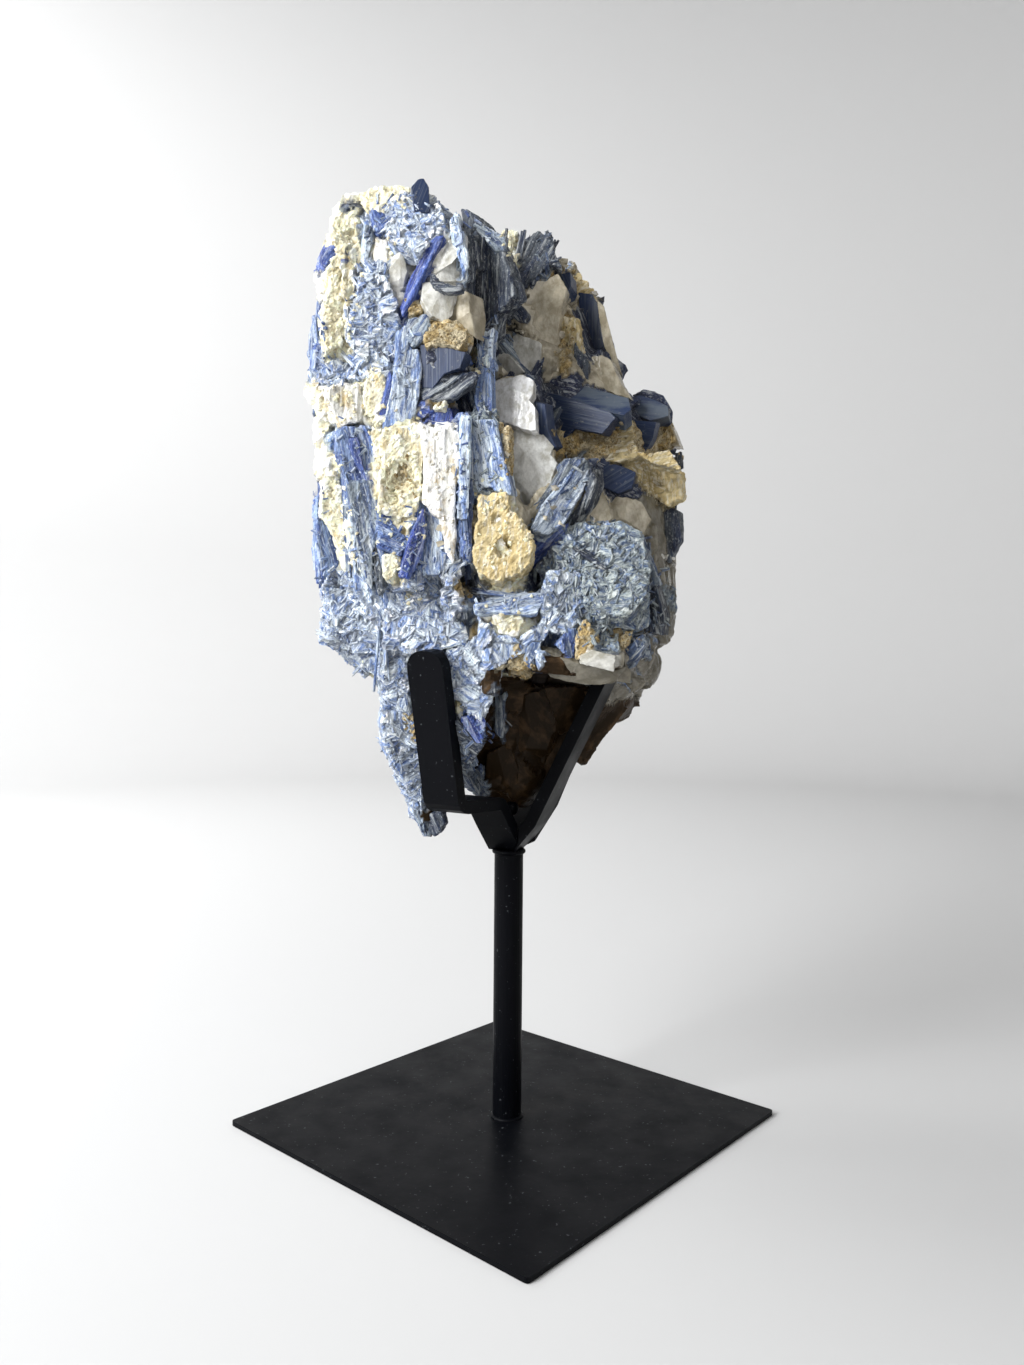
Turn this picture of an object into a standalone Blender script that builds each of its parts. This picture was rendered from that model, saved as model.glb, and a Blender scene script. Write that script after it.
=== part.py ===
"""Kyanite blade cluster in a black painted display stand.

One rough specimen of kyanite blades, feldspar and quartz, grown together as a single solid, is
held by three bent flat bars welded to a round post on a thin square plate. Metres, +Z up; the
origin is the middle of the plate's underside, +X is to the right and +Y away from the viewer,
and one corner of the plate points at the viewer (-Y).
"""

import math
import random

import bmesh
import bpy
from mathutils import Matrix, Vector, noise

MM = 0.001

# Clearance between pieces that touch
GAP = 0.3 * MM

# Base plate and post
PLATE_SIDE = 127 * MM
PLATE_THICKNESS = 1.5 * MM
PLATE_CORNER = 1.2 * MM
POST_DIAMETER = 9.5 * MM
POST_TOP = 89 * MM

# Flat bars that hold the specimen: centre lines as (distance from the post's axis, height)
BAR_WIDTH = 12.7 * MM
BAR_THICKNESS = 4 * MM
BAR_BEND_RADIUS = 4 * MM
BAR_END_RADIUS = 5.2 * MM
PRONGS = {
    "front_left_prong": {
        "azimuth": -125,
        "path": [(-3, 86), (8.5, 99.5), (14, 106.5), (36.5, 107.5), (46.5, 154)],
    },
    "front_right_prong": {
        "azimuth": -24,
        "path": [(-3, 84.5), (9.5, 99.5), (34, 149)],
    },
    "rear_prong": {
        "azimuth": 62,
        "path": [(-3, 89), (26, 103), (46, 119), (51.5, 150)],
    },
}

# Sections of the fused masses, from the bottom up: height, centre x, centre y, half width,
# half depth, all in millimetres
FRONT_COLUMN = [
    (112, -28, -13, 8, 8),
    (130, -27, -12, 14, 14),
    (148, -27, -12, 17, 19),
    (170, -32, -13, 24, 26),
    (190, -34, -12, 25, 29),
    (212, -34, -12, 25, 29),
    (235, -35, -12, 26, 27),
    (256, -36, -12, 25, 25),
    (274, -34, -12, 22, 22),
    (286, -33, -14, 18, 16),
    (293, -36, -15, 12, 9),
]
BACK_RIGHT_MASS = [
    (104, 0, 8, 8, 9),
    (110, 0, 9, 15, 13),
    (118, 4, 11, 19, 17),
    (127, 8, 13, 22, 20),
    (137, 14, 14, 27, 24),
    (151, 18, 14, 33, 27),
    (176, 22, 14, 33, 29),
    (204, 23, 15, 34, 30),
    (227, 20, 16, 35, 29),
    (241, 14, 16, 30, 27),
    (256, 8, 16, 25, 24),
    (275, 6, 16, 20, 20),
    (288, 4, 15, 13, 13),
    (294, 3, 14, 7, 7),
]
REAR_SADDLE = [
    (110, -8, 4, 10, 9),
    (124, -10, 6, 18, 15),
    (142, -12, 8, 26, 20),
    (168, -14, 10, 36, 24),
    (198, -14, 11, 40, 26),
    (228, -14, 11, 40, 25),
    (252, -14, 10, 34, 21),
    (271, -12, 8, 25, 17),
    (284, -10, 6, 14, 11),
]
LEFT_FLANK = [
    (146, -43, -12, 3, 6),
    (155, -49, -10, 7, 12),
    (168, -52, -9, 8, 15),
    (186, -55, -8, 8, 16),
    (203, -58, -8, 5, 11),
]
LOWER_TIP = [
    (97, -27, -17, 2, 3),
    (103, -28, -16, 4, 5),
    (112, -29, -14, 7, 7),
    (125, -30, -13, 12, 10),
    (141, -29, -14, 14, 12),
    (158, -27, -19, 16, 15),
]
LOWER_RIGHT_LUMP = [
    (149, 21, -26, 17, 17),
    (158, 22, -26, 19, 20),
    (170, 24, -24, 18, 20),
    (181, 23, -20, 16, 19),
    (190, 20, -16, 12, 15),
]
CENTRE_CLUSTER = [
    (147, 0, -26, 5, 7),
    (153, 0, -27, 9, 11),
    (163, -1, -26, 12, 15),
    (176, -4, -24, 13, 17),
    (192, -6, -22, 12, 16),
]

# Rounded lumps of feldspar and crumpled scale: centre and half sizes in millimetres
LUMPS = [
    (-40, -18, 290, 9, 8, 6),
    (-31, -27, 281, 11, 10, 9),
    (-14, -24, 273, 6, 8, 9),
    (-49, -18, 286, 9, 8, 8),
    (-21, -35, 247, 6, 5, 4.5),
    (-54, -24, 268, 7, 8, 13),
    (-56, -24, 236, 7, 8, 14),
    (-5, -37, 188, 9, 8, 14),
    (-36, -36, 177, 4, 4, 6),
    (-36, -23, 166, 13, 12, 13),
    (51, 6, 211, 9, 10, 8),
    (50, 12, 166, 8, 10, 10),
    (45, 12, 150, 8, 10, 8),
    (36, 14, 138, 8, 10, 8),
    (27, 15, 127, 6, 9, 6),
    (24, -44, 152, 8, 5, 4),
    (-2, -36, 158, 10, 8, 9),
]

# Blocky quartz and feldspar crystals: centre, size across, deep and high, then lean to the
# right and turn to the left in degrees
BLOCKS = [
    (-23, -34, 269, 12, 10, 14, 6, 20),
    (-22, -34, 257, 12, 9, 9, -4, 10),
    (-50, -30, 255, 8, 9, 33, -3, 25),
    (-22, -36, 238, 13, 10, 14, 0, 12),
    (-50, -31, 227, 10, 9, 13, 4, 25),
    (-34, -35, 203, 14, 12, 32, -2, 12),
    (-22, -37, 206, 11, 9, 27, -2, 0),
    (1, -22, 230, 13, 5, 18, -4, -8),
    (4, -27, 207, 14, 5, 29, 4, -12),
    (1, -12, 248, 13, 6, 15, 0, 4),
    (5, -2, 268, 14, 12, 26, 4, 10),
    (29, 4, 248, 12, 12, 11, 30, 20),
    (47, 8, 237, 13, 14, 10, 10, 14),
    (27, -6, 223, 20, 10, 11, 8, 6),
    (24, -47, 152, 11, 6, 6, 6, 0),
    (18, -38, 149, 28, 16, 6, 6, 8),
    (25, -38, 175, 26, 10, 26, -14, 12),
    (36, 26, 190, 22, 26, 40, -6, 20),
    (-30, 10, 210, 30, 14, 46, 4, -15),
    (-44, 6, 176, 16, 14, 30, 6, -20),
]

# Kyanite blades: centre, length, width, thickness, then lean to the right, lean towards the
# viewer and turn about the blade's own length, in degrees
BLADES = [
    # Crown of the front column
    (-29, -24, 285, 22, 6, 4, -10, 4, 20),
    (-27, -22, 283, 18, 6, 4, 10, 0, -20),
    (-36, -22, 286, 14, 7, 4, -30, 6, 10),
    (-46, -20, 283, 18, 8, 5, -25, 4, 30),
    (-57, -20, 275, 16, 8, 5, 24, 0, 50),
    (-27, -37, 267, 21, 4, 4, 23, 4, 10),
    (-17, -35, 272, 21, 3.5, 4, -12, -4, 20),
    (-44, -31, 272, 18, 5, 4, -4, -4, 30),
    (-11, -20, 275, 20, 8, 6, -8, -10, 60),
    (-12, -16, 262, 34, 14, 6, -4, -4, 80),
    (-60, -16, 252, 26, 10, 6, 4, 0, 70),
    # Middle of the front column
    (-32, -38, 233, 28, 7, 4, 5, 0, 8),
    (-40, -35, 244, 22, 9, 5, -16, 0, 14),
    (-24, -38, 228, 19, 6, 4, 45, 0, 0),
    (-10, -33, 241, 17, 6, 6, 2, -4, 20),
    (-11, -35, 228, 17, 6, 6, 0, 0, 10),
    (-47, -32, 214, 16, 12, 6, -8, 0, 20),
    (-45, -33, 195, 46, 9, 6, -6, 2, 24),
    (-57, -22, 208, 34, 10, 7, -2, 0, 50),
    (-16, -40, 201, 42, 5, 5, -2, 0, 0),
    (-9, -37, 211, 26, 14, 7, -10, 0, -6),
    (-30, -40, 184, 26, 7, 5, 3, 0, 10),
    (-37, -37, 188, 16, 5, 4, -42, 0, 10),
    (-20, -40, 179, 34, 8, 5, -8, 0, 0),
    # Lower front and the tip
    (-36, -30, 170, 28, 10, 6, -10, 0, 24),
    (-14, -34, 158, 30, 9, 6, -6, 0, -10),
    (-13, -32, 137, 26, 9, 6, 6, 0, -10),
    (-37, -15, 134, 26, 8, 6, -12, 0, 50),
    (-33, -15, 113, 24, 6, 5, -14, 0, 40),
    (-4, -8, 134, 20, 6, 4, 4, 6, 10),
    (-10, -20, 124, 24, 8, 5, 10, 0, -30),
    # Clear spur and the lump at the lower right
    (12, -34, 200, 26, 13, 7, 31, 4, 8),
    (21, -32, 195, 18, 10, 6, -35, 0, 4),
    (2, -36, 192, 24, 8, 6, 34, 0, 0),
    (37, -38, 174, 32, 9, 4, -17, 4, 70),
    (34, -37, 178, 26, 8, 3.5, -17, 6, 66),
    (40, -34, 171, 30, 9, 4, -16, 2, 74),
    (15, -44, 157, 12, 5, 4, 10, 0, 0),
    (0, -41, 167, 22, 7, 6, 75, 0, 6),
    (6, -38, 157, 14, 6, 4, 12, 0, 0),
    (-7, -38, 151, 20, 6, 4, 6, 0, 0),
    (12, -38, 172, 20, 8, 5, -30, 0, 0),
    (32, -30, 150, 18, 8, 5, -40, 0, 40),
    # Back right mass, seen past the front column
    (10, 10, 283, 30, 9, 6, 12, -4, 10),
    (1, 8, 281, 30, 9, 6, 0, -6, -10),
    (6, 14, 284, 26, 9, 6, -6, 0, 10),
    (18, 13, 272, 32, 9, 6, 18, 0, 20),
    (25, 12, 262, 32, 9, 6, 12, 0, 20),
    (10, 2, 270, 34, 8, 5, 24, 0, 10),
    (27, 6, 258, 24, 9, 5, -22, 0, 20),
    (25, -2, 240, 30, 9, 9, 107, 0, 10),
    (36, 2, 211, 18, 13, 7, 60, 0, 0),
    (20, -8, 233, 26, 8, 6, 96, 0, 0),
    (49, 6, 194, 28, 8, 7, -4, 0, 20),
    (54, 10, 186, 34, 8, 7, -2, 0, 50),
    (42, 0, 190, 30, 9, 6, -8, 0, 10),
    (30, 4, 128, 24, 8, 6, 40, 0, 10),
    (52, 16, 222, 26, 10, 7, -14, 0, 60),
]

# Pits and hollows: centre and half sizes in millimetres
PITS = [
    (-34, -43, 201, 4, 4, 7),
    (-2, -45, 187, 3.5, 4, 5),
    (-3, -14, 259, 3, 5, 3),
    (-7, -12, 119, 9, 12, 9),
]

# Blades that cover the sides and the back, laid by rule on the masses
SIDE_BLADES = 48
SIDE_SEED = 21
SIDE_DEPTH = 0.9
SIDE_REGIONS = [
    # mass, bearings in degrees, heights in millimetres
    (BACK_RIGHT_MASS, (-5, 110), (135, 266)),
    (FRONT_COLUMN, (110, 205), (170, 268)),
    (REAR_SADDLE, (50, 130), (130, 268)),
]


def clear_scene():
    """Start from an empty scene."""
    for item in list(bpy.data.objects):
        bpy.data.objects.remove(item, do_unlink=True)


def new_collection(name):
    collection = bpy.data.collections.new(name)
    bpy.context.scene.collection.children.link(collection)
    return collection


def make_material(name, colour, roughness, metallic=0.0):
    material = bpy.data.materials.new(name)
    material.use_nodes = True
    shader = material.node_tree.nodes["Principled BSDF"]
    shader.inputs["Base Color"].default_value = (*colour, 1.0)
    shader.inputs["Roughness"].default_value = roughness
    shader.inputs["Metallic"].default_value = metallic
    return material


def add_object(name, bm, collection, material=None):
    """Turn a bmesh into a named object and free the bmesh."""
    mesh = bpy.data.meshes.new(name)
    bm.to_mesh(mesh)
    bm.free()
    if material:
        mesh.materials.append(material)
    item = bpy.data.objects.new(name, mesh)
    collection.objects.link(item)
    return item


def hide_helper(item):
    item.hide_render = True
    item.display_type = "WIRE"


def add_base_plate(collection, material):
    """Thin square plate, turned so that its corners lie on the X and Y axes."""
    bm = bmesh.new()
    bmesh.ops.create_cube(bm, size=1.0)
    bmesh.ops.scale(bm, vec=(PLATE_SIDE, PLATE_SIDE, PLATE_THICKNESS), verts=bm.verts)
    corners = [edge for edge in bm.edges if abs(edge.verts[0].co.z - edge.verts[1].co.z) > GAP]
    bmesh.ops.bevel(bm, geom=corners, offset=PLATE_CORNER, segments=3, affect="EDGES", profile=0.5)
    bmesh.ops.rotate(bm, matrix=Matrix.Rotation(math.radians(45), 3, "Z"), verts=bm.verts)
    bmesh.ops.translate(bm, vec=(0, 0, PLATE_THICKNESS / 2), verts=bm.verts)
    return add_object("base_plate", bm, collection, material)


def add_post(collection, material):
    """Round post standing on the middle of the plate."""
    foot = PLATE_THICKNESS + GAP
    bm = bmesh.new()
    bmesh.ops.create_cone(
        bm, cap_ends=True, segments=32, depth=POST_TOP - foot,
        radius1=POST_DIAMETER / 2, radius2=POST_DIAMETER / 2,
    )
    bmesh.ops.translate(bm, vec=(0, 0, (POST_TOP + foot) / 2), verts=bm.verts)
    item = add_object("post", bm, collection, material)
    item.data.shade_smooth()
    item.data.set_sharp_from_angle(angle=math.radians(40))
    return item


def rounded_path(points, radius, steps=4):
    """Replace each inner corner of a path in the plane by a short arc."""
    path = [points[0]]
    for before, corner, after in zip(points, points[1:], points[2:]):
        back = (before - corner).normalized()
        ahead = (after - corner).normalized()
        half = back.angle(ahead) / 2
        reach = min(radius / math.tan(half), (before - corner).length * 0.45, (after - corner).length * 0.45)
        start = corner + back * reach
        finish = corner + ahead * reach
        for step in range(steps + 1):
            t = step / steps
            path.append(start * (1 - t) ** 2 + corner * 2 * t * (1 - t) + finish * t ** 2)
    path.append(points[-1])
    return path


def bar_outline(path, thickness):
    """Closed side outline of a bar of even thickness along a path in the plane."""
    left = []
    right = []
    for index, point in enumerate(path):
        before = path[max(index - 1, 0)]
        after = path[min(index + 1, len(path) - 1)]
        ahead = (after - before).normalized()
        side = Vector((-ahead.y, ahead.x)) * thickness / 2
        left.append(point + side)
        right.append(point - side)
    return left + right[::-1]


def keep_side(bm, point, normal):
    """Cut a closed mesh by a plane, drop what lies ahead of it and close the cut."""
    geometry = bm.verts[:] + bm.edges[:] + bm.faces[:]
    cut = bmesh.ops.bisect_plane(
        bm, geom=geometry, plane_co=point, plane_no=normal, clear_outer=True, dist=1e-7,
    )
    rim = [item for item in cut["geom_cut"] if isinstance(item, bmesh.types.BMEdge)]
    if rim:
        bmesh.ops.contextual_create(bm, geom=rim)


def bar_mesh(name, azimuth, points, width, thickness, grow=0.0):
    """Bent flat bar standing in the upright plane at an azimuth, with a rounded far end."""
    corners = [Vector(point) * MM for point in points]
    corners[-1] = corners[-1] + (corners[-1] - corners[-2]).normalized() * grow
    outline = bar_outline(rounded_path(corners, BAR_BEND_RADIUS), thickness + 2 * grow)
    curve = bpy.data.curves.new(name, "CURVE")
    curve.dimensions = "2D"
    curve.fill_mode = "BOTH"
    curve.extrude = width / 2 + grow
    spline = curve.splines.new("POLY")
    spline.points.add(len(outline) - 1)
    for slot, place in zip(spline.points, outline):
        slot.co = (place.x, place.y, 0, 1)
    spline.use_cyclic_u = True
    holder = bpy.data.objects.new(name, curve)
    bpy.context.scene.collection.objects.link(holder)
    evaluated = holder.evaluated_get(bpy.context.evaluated_depsgraph_get())
    mesh = bpy.data.meshes.new_from_object(evaluated)
    bm = bmesh.new()
    bm.from_mesh(mesh)
    bpy.data.objects.remove(holder, do_unlink=True)
    bpy.data.meshes.remove(mesh)
    for face in bm.faces:
        face.smooth = False
    bmesh.ops.remove_doubles(bm, verts=bm.verts, dist=1e-6)
    bmesh.ops.dissolve_limit(bm, angle_limit=0.01, verts=bm.verts, edges=bm.edges)
    ahead = (corners[-1] - corners[-2]).normalized()
    tip = corners[-1].dot(ahead) - MM * 0.1
    far = [edge for edge in bm.edges
           if all(Vector(vert.co[:2]).dot(ahead) > tip for vert in edge.verts)
           and abs(edge.verts[0].co.z - edge.verts[1].co.z) < MM * 0.1]
    bmesh.ops.bevel(bm, geom=far, offset=BAR_END_RADIUS + grow, segments=5, affect="EDGES", profile=0.5)
    # The outline was drawn as (radius, height): stand it up and turn it to its azimuth
    bmesh.ops.rotate(bm, matrix=Matrix.Rotation(math.radians(90), 3, "X"), verts=bm.verts)
    bmesh.ops.rotate(bm, matrix=Matrix.Rotation(math.radians(azimuth), 3, "Z"), verts=bm.verts)
    bmesh.ops.recalc_face_normals(bm, faces=bm.faces)
    return bm


def add_prongs(collection, material):
    """The three bars, mitred against each other just above the post's flat top."""
    azimuths = sorted(data["azimuth"] for data in PRONGS.values())
    for name, data in PRONGS.items():
        bm = bar_mesh(name, data["azimuth"], data["path"], BAR_WIDTH, BAR_THICKNESS)
        keep_side(bm, Vector((0, 0, POST_TOP + GAP)), Vector((0, 0, -1)))
        index = azimuths.index(data["azimuth"])
        following = azimuths[(index + 1) % 3] + (360 if index == 2 else 0)
        previous = azimuths[index - 1] - (360 if index == 0 else 0)
        for neighbour, turn in ((following, 1), (previous, -1)):
            mitre = math.radians((data["azimuth"] + neighbour) / 2)
            normal = Vector((-math.sin(mitre), math.cos(mitre), 0)) * turn
            keep_side(bm, -normal * GAP / 2, normal)
        bmesh.ops.triangulate(bm, faces=bm.faces)
        add_object(name, bm, collection, material)


def loft(name, sections, sides, seed, collection):
    """Rough mass through a stack of irregular sections, closed at both ends."""
    rng = random.Random(seed)
    bm = bmesh.new()
    rings = []
    for height, x, y, half_width, half_depth in sections:
        ring = []
        for side in range(sides):
            angle = math.tau * (side + rng.uniform(-0.3, 0.3)) / sides
            swell = rng.uniform(0.9, 1.08)
            place = Vector((x + math.cos(angle) * half_width * swell,
                            y + math.sin(angle) * half_depth * swell,
                            height + rng.uniform(-1.5, 1.5)))
            ring.append(bm.verts.new(place * MM))
        rings.append(ring)
    for lower, upper in zip(rings, rings[1:]):
        for side in range(sides):
            ahead = (side + 1) % sides
            bm.faces.new((lower[side], lower[ahead], upper[ahead], upper[side]))
    bm.faces.new(rings[0][::-1])
    bm.faces.new(rings[-1])
    bmesh.ops.triangulate(bm, faces=bm.faces)
    return add_object(name, bm, collection)


def add_lump(name, row, collection):
    """Rounded, dented lump."""
    x, y, z, half_width, half_depth, half_height = row
    bm = bmesh.new()
    bmesh.ops.create_icosphere(bm, subdivisions=2, radius=1.0)
    for vert in bm.verts:
        dent = noise.noise(vert.co * 1.3 + Vector((x, y, z)))
        vert.co *= 1.0 + 0.28 * dent
    bmesh.ops.scale(bm, vec=(half_width * MM, half_depth * MM, half_height * MM), verts=bm.verts)
    bmesh.ops.translate(bm, vec=Vector((x, y, z)) * MM, verts=bm.verts)
    return add_object(name, bm, collection)


def place_crystal(bm, centre, lean, tip, turn, bearing=0):
    """Turn a crystal about its own length, lean it, face it to a bearing and move it to its place."""
    turned = (Matrix.Rotation(math.radians(bearing), 4, "Z")
              @ Matrix.Rotation(math.radians(lean), 4, "Y")
              @ Matrix.Rotation(math.radians(tip), 4, "X")
              @ Matrix.Rotation(math.radians(turn), 4, "Z"))
    bmesh.ops.transform(bm, matrix=Matrix.Translation(Vector(centre) * MM) @ turned, verts=bm.verts)


def add_block(name, row, collection):
    """Blocky crystal: a box with its corners broken off by flat cuts."""
    x, y, z, across, deep, high, lean, turn = row
    rng = random.Random(name)
    bm = bmesh.new()
    bmesh.ops.create_cube(bm, size=1.0)
    for _ in range(5):
        away = Vector((rng.choice((-1, 1)), rng.choice((-1, 1)), rng.choice((-1, 1))))
        away += Vector((rng.uniform(-0.5, 0.5), rng.uniform(-0.5, 0.5), rng.uniform(-0.5, 0.5)))
        away.normalize()
        keep_side(bm, away * rng.uniform(0.56, 0.68), away)
    bmesh.ops.scale(bm, vec=(across * MM, deep * MM, high * MM), verts=bm.verts)
    place_crystal(bm, (x, y, z), lean, 0, turn)
    bmesh.ops.triangulate(bm, faces=bm.faces)
    return add_object(name, bm, collection)


def add_blade(name, row, collection, bearing=0):
    """Flat six-sided blade, a little narrower at the top, with both ends broken off aslant."""
    x, y, z, length, width, thickness, lean, tip, turn = row
    rng = random.Random(name)
    bm = bmesh.new()
    bmesh.ops.create_cone(
        bm, cap_ends=True, segments=6, radius1=0.5, radius2=rng.uniform(0.3, 0.45), depth=1.0,
    )
    slant = rng.uniform(-0.9, 0.9)
    for vert in bm.verts:
        if vert.co.z > 0:
            vert.co.z += slant * vert.co.x * width / length
    bmesh.ops.scale(bm, vec=(width * MM, thickness * MM, length * MM), verts=bm.verts)
    place_crystal(bm, (x, y, z), lean, tip, turn, bearing)
    bmesh.ops.triangulate(bm, faces=bm.faces)
    return add_object(name, bm, collection)


def section_at(sections, height):
    """Centre and half sizes of a mass at a height, read between its sections."""
    for lower, upper in zip(sections, sections[1:]):
        if lower[0] <= height <= upper[0]:
            t = (height - lower[0]) / (upper[0] - lower[0])
            return [a + (b - a) * t for a, b in zip(lower[1:], upper[1:])]
    return list(sections[-1][1:])


def side_blades():
    """Rows and bearings for the blades on the sides and the back, flat on the masses' surfaces."""
    rng = random.Random(SIDE_SEED)
    rows = []
    for index in range(SIDE_BLADES):
        sections, bearings, heights = SIDE_REGIONS[index % len(SIDE_REGIONS)]
        height = rng.uniform(*heights)
        x, y, half_width, half_depth = section_at(sections, height)
        angle = math.radians(rng.uniform(*bearings))
        place = (x + math.cos(angle) * half_width * SIDE_DEPTH,
                 y + math.sin(angle) * half_depth * SIDE_DEPTH, height)
        outward = math.atan2(math.sin(angle) * half_width, math.cos(angle) * half_depth)
        size = (rng.uniform(20, 46), rng.uniform(9, 17), rng.uniform(5, 10))
        row = (*place, *size, rng.uniform(-32, 32), rng.uniform(-7, 7), rng.uniform(-12, 12))
        rows.append((row, math.degrees(outward) - 90))
    return rows


def join_masses(parts, collection, material):
    """Join everything that grew together into one closed solid and cut the pits."""
    body = parts[0]
    others = new_collection("kyanite_parts")
    for item in parts[1:]:
        for holder in item.users_collection:
            holder.objects.unlink(item)
        others.objects.link(item)
        hide_helper(item)
    pits = new_collection("kyanite_pits")
    for index, row in enumerate(PITS):
        hide_helper(add_lump(f"pit_{index}", row, pits))
    for name, data in PRONGS.items():
        bm = bar_mesh(name + "_room", data["azimuth"], data["path"], BAR_WIDTH, BAR_THICKNESS, GAP)
        hide_helper(add_object(name + "_room", bm, pits))
    for label, operation, operands in (("Join", "UNION", others), ("Cut", "DIFFERENCE", pits)):
        modifier = body.modifiers.new(label, "BOOLEAN")
        modifier.operation = operation
        modifier.operand_type = "COLLECTION"
        modifier.collection = operands
        modifier.solver = "EXACT"
    evaluated = body.evaluated_get(bpy.context.evaluated_depsgraph_get())
    mesh = bpy.data.meshes.new_from_object(evaluated)
    bm = bmesh.new()
    bm.from_mesh(mesh)
    bpy.data.meshes.remove(mesh)
    bmesh.ops.triangulate(bm, faces=bm.faces)
    keep_outer_skin(bm)
    for item in list(others.objects) + list(pits.objects) + [body]:
        bpy.data.objects.remove(item, do_unlink=True)
    return add_object("kyanite_specimen", bm, collection, material)


def keep_outer_skin(bm):
    """Drop every loose shell but the largest, so that no void is left sealed inside."""
    unseen = set(bm.faces)
    shells = []
    while unseen:
        shell = []
        stack = [unseen.pop()]
        while stack:
            face = stack.pop()
            shell.append(face)
            for edge in face.edges:
                for other in edge.link_faces:
                    if other in unseen:
                        unseen.remove(other)
                        stack.append(other)
        shells.append(shell)
    shells.sort(key=len)
    for shell in shells[:-1]:
        bmesh.ops.delete(bm, geom=shell, context="FACES")


def add_specimen(collection, material):
    """All masses, lumps, blocks and blades of the specimen, joined in one solid."""
    work = new_collection("kyanite_work")
    masses = {
        "front_column": (FRONT_COLUMN, 11),
        "back_right_mass": (BACK_RIGHT_MASS, 12),
        "rear_saddle": (REAR_SADDLE, 8),
        "left_flank": (LEFT_FLANK, 8),
        "lower_tip": (LOWER_TIP, 8),
        "lower_right_lump": (LOWER_RIGHT_LUMP, 9),
        "centre_cluster": (CENTRE_CLUSTER, 8),
    }
    parts = []
    for seed, (name, (sections, sides)) in enumerate(masses.items()):
        parts.append(loft(name, sections, sides, seed, work))
    for index, row in enumerate(LUMPS):
        parts.append(add_lump(f"lump_{index}", row, work))
    for index, row in enumerate(BLOCKS):
        parts.append(add_block(f"block_{index}", row, work))
    for index, row in enumerate(BLADES):
        parts.append(add_blade(f"blade_{index}", row, work))
    for index, (row, bearing) in enumerate(side_blades()):
        parts.append(add_blade(f"side_blade_{index}", row, work, bearing))
    return join_masses(parts, collection, material)


def main():
    clear_scene()
    model = new_collection("kyanite_blade_cluster")
    black_paint = make_material("black_paint", (0.012, 0.013, 0.016), 0.45)
    kyanite = make_material("kyanite", (0.36, 0.44, 0.58), 0.5)
    add_base_plate(model, black_paint)
    add_post(model, black_paint)
    add_prongs(model, black_paint)
    add_specimen(model, kyanite)


main()
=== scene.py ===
"""Looks of the kyanite blade cluster on its black display stand.

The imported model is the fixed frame. The stand's solids stay and get their paint. The specimen is
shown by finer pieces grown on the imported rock: the rough ground rock, kyanite blades and slabs,
feldspar, quartz and ochre crusts. Metres, +Z up; the viewer looks along +Y.
"""

import math
import random

import bpy
import numpy as np
from mathutils import Matrix, Vector, noise
from mathutils.bvhtree import BVHTree


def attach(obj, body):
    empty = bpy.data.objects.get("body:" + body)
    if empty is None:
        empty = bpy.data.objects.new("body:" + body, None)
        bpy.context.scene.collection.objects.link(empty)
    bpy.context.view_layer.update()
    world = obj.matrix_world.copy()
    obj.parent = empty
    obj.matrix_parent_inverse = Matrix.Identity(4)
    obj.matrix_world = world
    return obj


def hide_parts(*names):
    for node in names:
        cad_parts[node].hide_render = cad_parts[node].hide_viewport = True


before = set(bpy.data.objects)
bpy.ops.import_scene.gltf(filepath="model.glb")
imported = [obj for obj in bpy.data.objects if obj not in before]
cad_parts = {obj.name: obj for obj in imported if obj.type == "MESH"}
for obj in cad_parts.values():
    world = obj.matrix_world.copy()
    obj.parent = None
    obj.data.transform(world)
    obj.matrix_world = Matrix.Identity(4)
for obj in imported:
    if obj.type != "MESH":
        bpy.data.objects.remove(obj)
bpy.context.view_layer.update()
MM = 0.001

# Viewpoint: place in metres, turn and tilt in degrees, and the image plane in pixels
EYE = Vector((-0.0196, -0.3290, 0.1468))
YAW, PITCH, ROLL = (math.radians(angle) for angle in (-3.51, -0.40, 0.46))
FOCAL = 1000.0
IMAGE_WIDTH, IMAGE_HEIGHT = 1024, 1365

AHEAD = Vector((-math.sin(YAW) * math.cos(PITCH), math.cos(YAW) * math.cos(PITCH), math.sin(PITCH)))
LEVEL = Vector((math.cos(YAW), math.sin(YAW), 0.0))
RISE = LEVEL.cross(AHEAD)
RIGHT = LEVEL * math.cos(ROLL) + RISE * math.sin(ROLL)
UP = RISE * math.cos(ROLL) - LEVEL * math.sin(ROLL)

# Finishes of the specimen, as linear colours; four of the dark ones are partly painted shade, as noted at
# each
TINTS = {
    "white": (0.84, 0.83, 0.78),
    "cream": (0.98, 0.89, 0.62),
    "honey": (0.58, 0.47, 0.25),
    "ochre": (0.46, 0.33, 0.14),
    # Smoky quartz of the hollow under the ledge, darkened to paint the shade it lies in
    "brown": (0.022, 0.013, 0.006),
    "bright": (0.58, 0.64, 0.70),
    "pale": (0.46, 0.53, 0.61),
    "ash": (0.31, 0.35, 0.345),
    "blue": (0.17, 0.25, 0.44),
    "vivid": (0.055, 0.10, 0.32),
    "navy": (0.016, 0.028, 0.070),
    "grey": (0.20, 0.24, 0.28),
    "steel": (0.085, 0.105, 0.135),
    # Slate: dark blue-grey kyanite; it is also laid in cracks, under the crown's ledge and on the steep wall
    # by the ridge, where it paints shade
    "slate": (0.050, 0.062, 0.080),
    "glass": (0.92, 0.92, 0.88),
    "clear": (0.72, 0.71, 0.66),
    "smoky": (0.56, 0.50, 0.38),
    # The smoky quartz again, darkened to paint the shade on the right side and under the lower right lump
    "murky": (0.22, 0.20, 0.155),
    # Near-black, laid in small gaps and in the crevice between the masses to paint their shade
    "black": (0.010, 0.010, 0.012),
}

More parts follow.
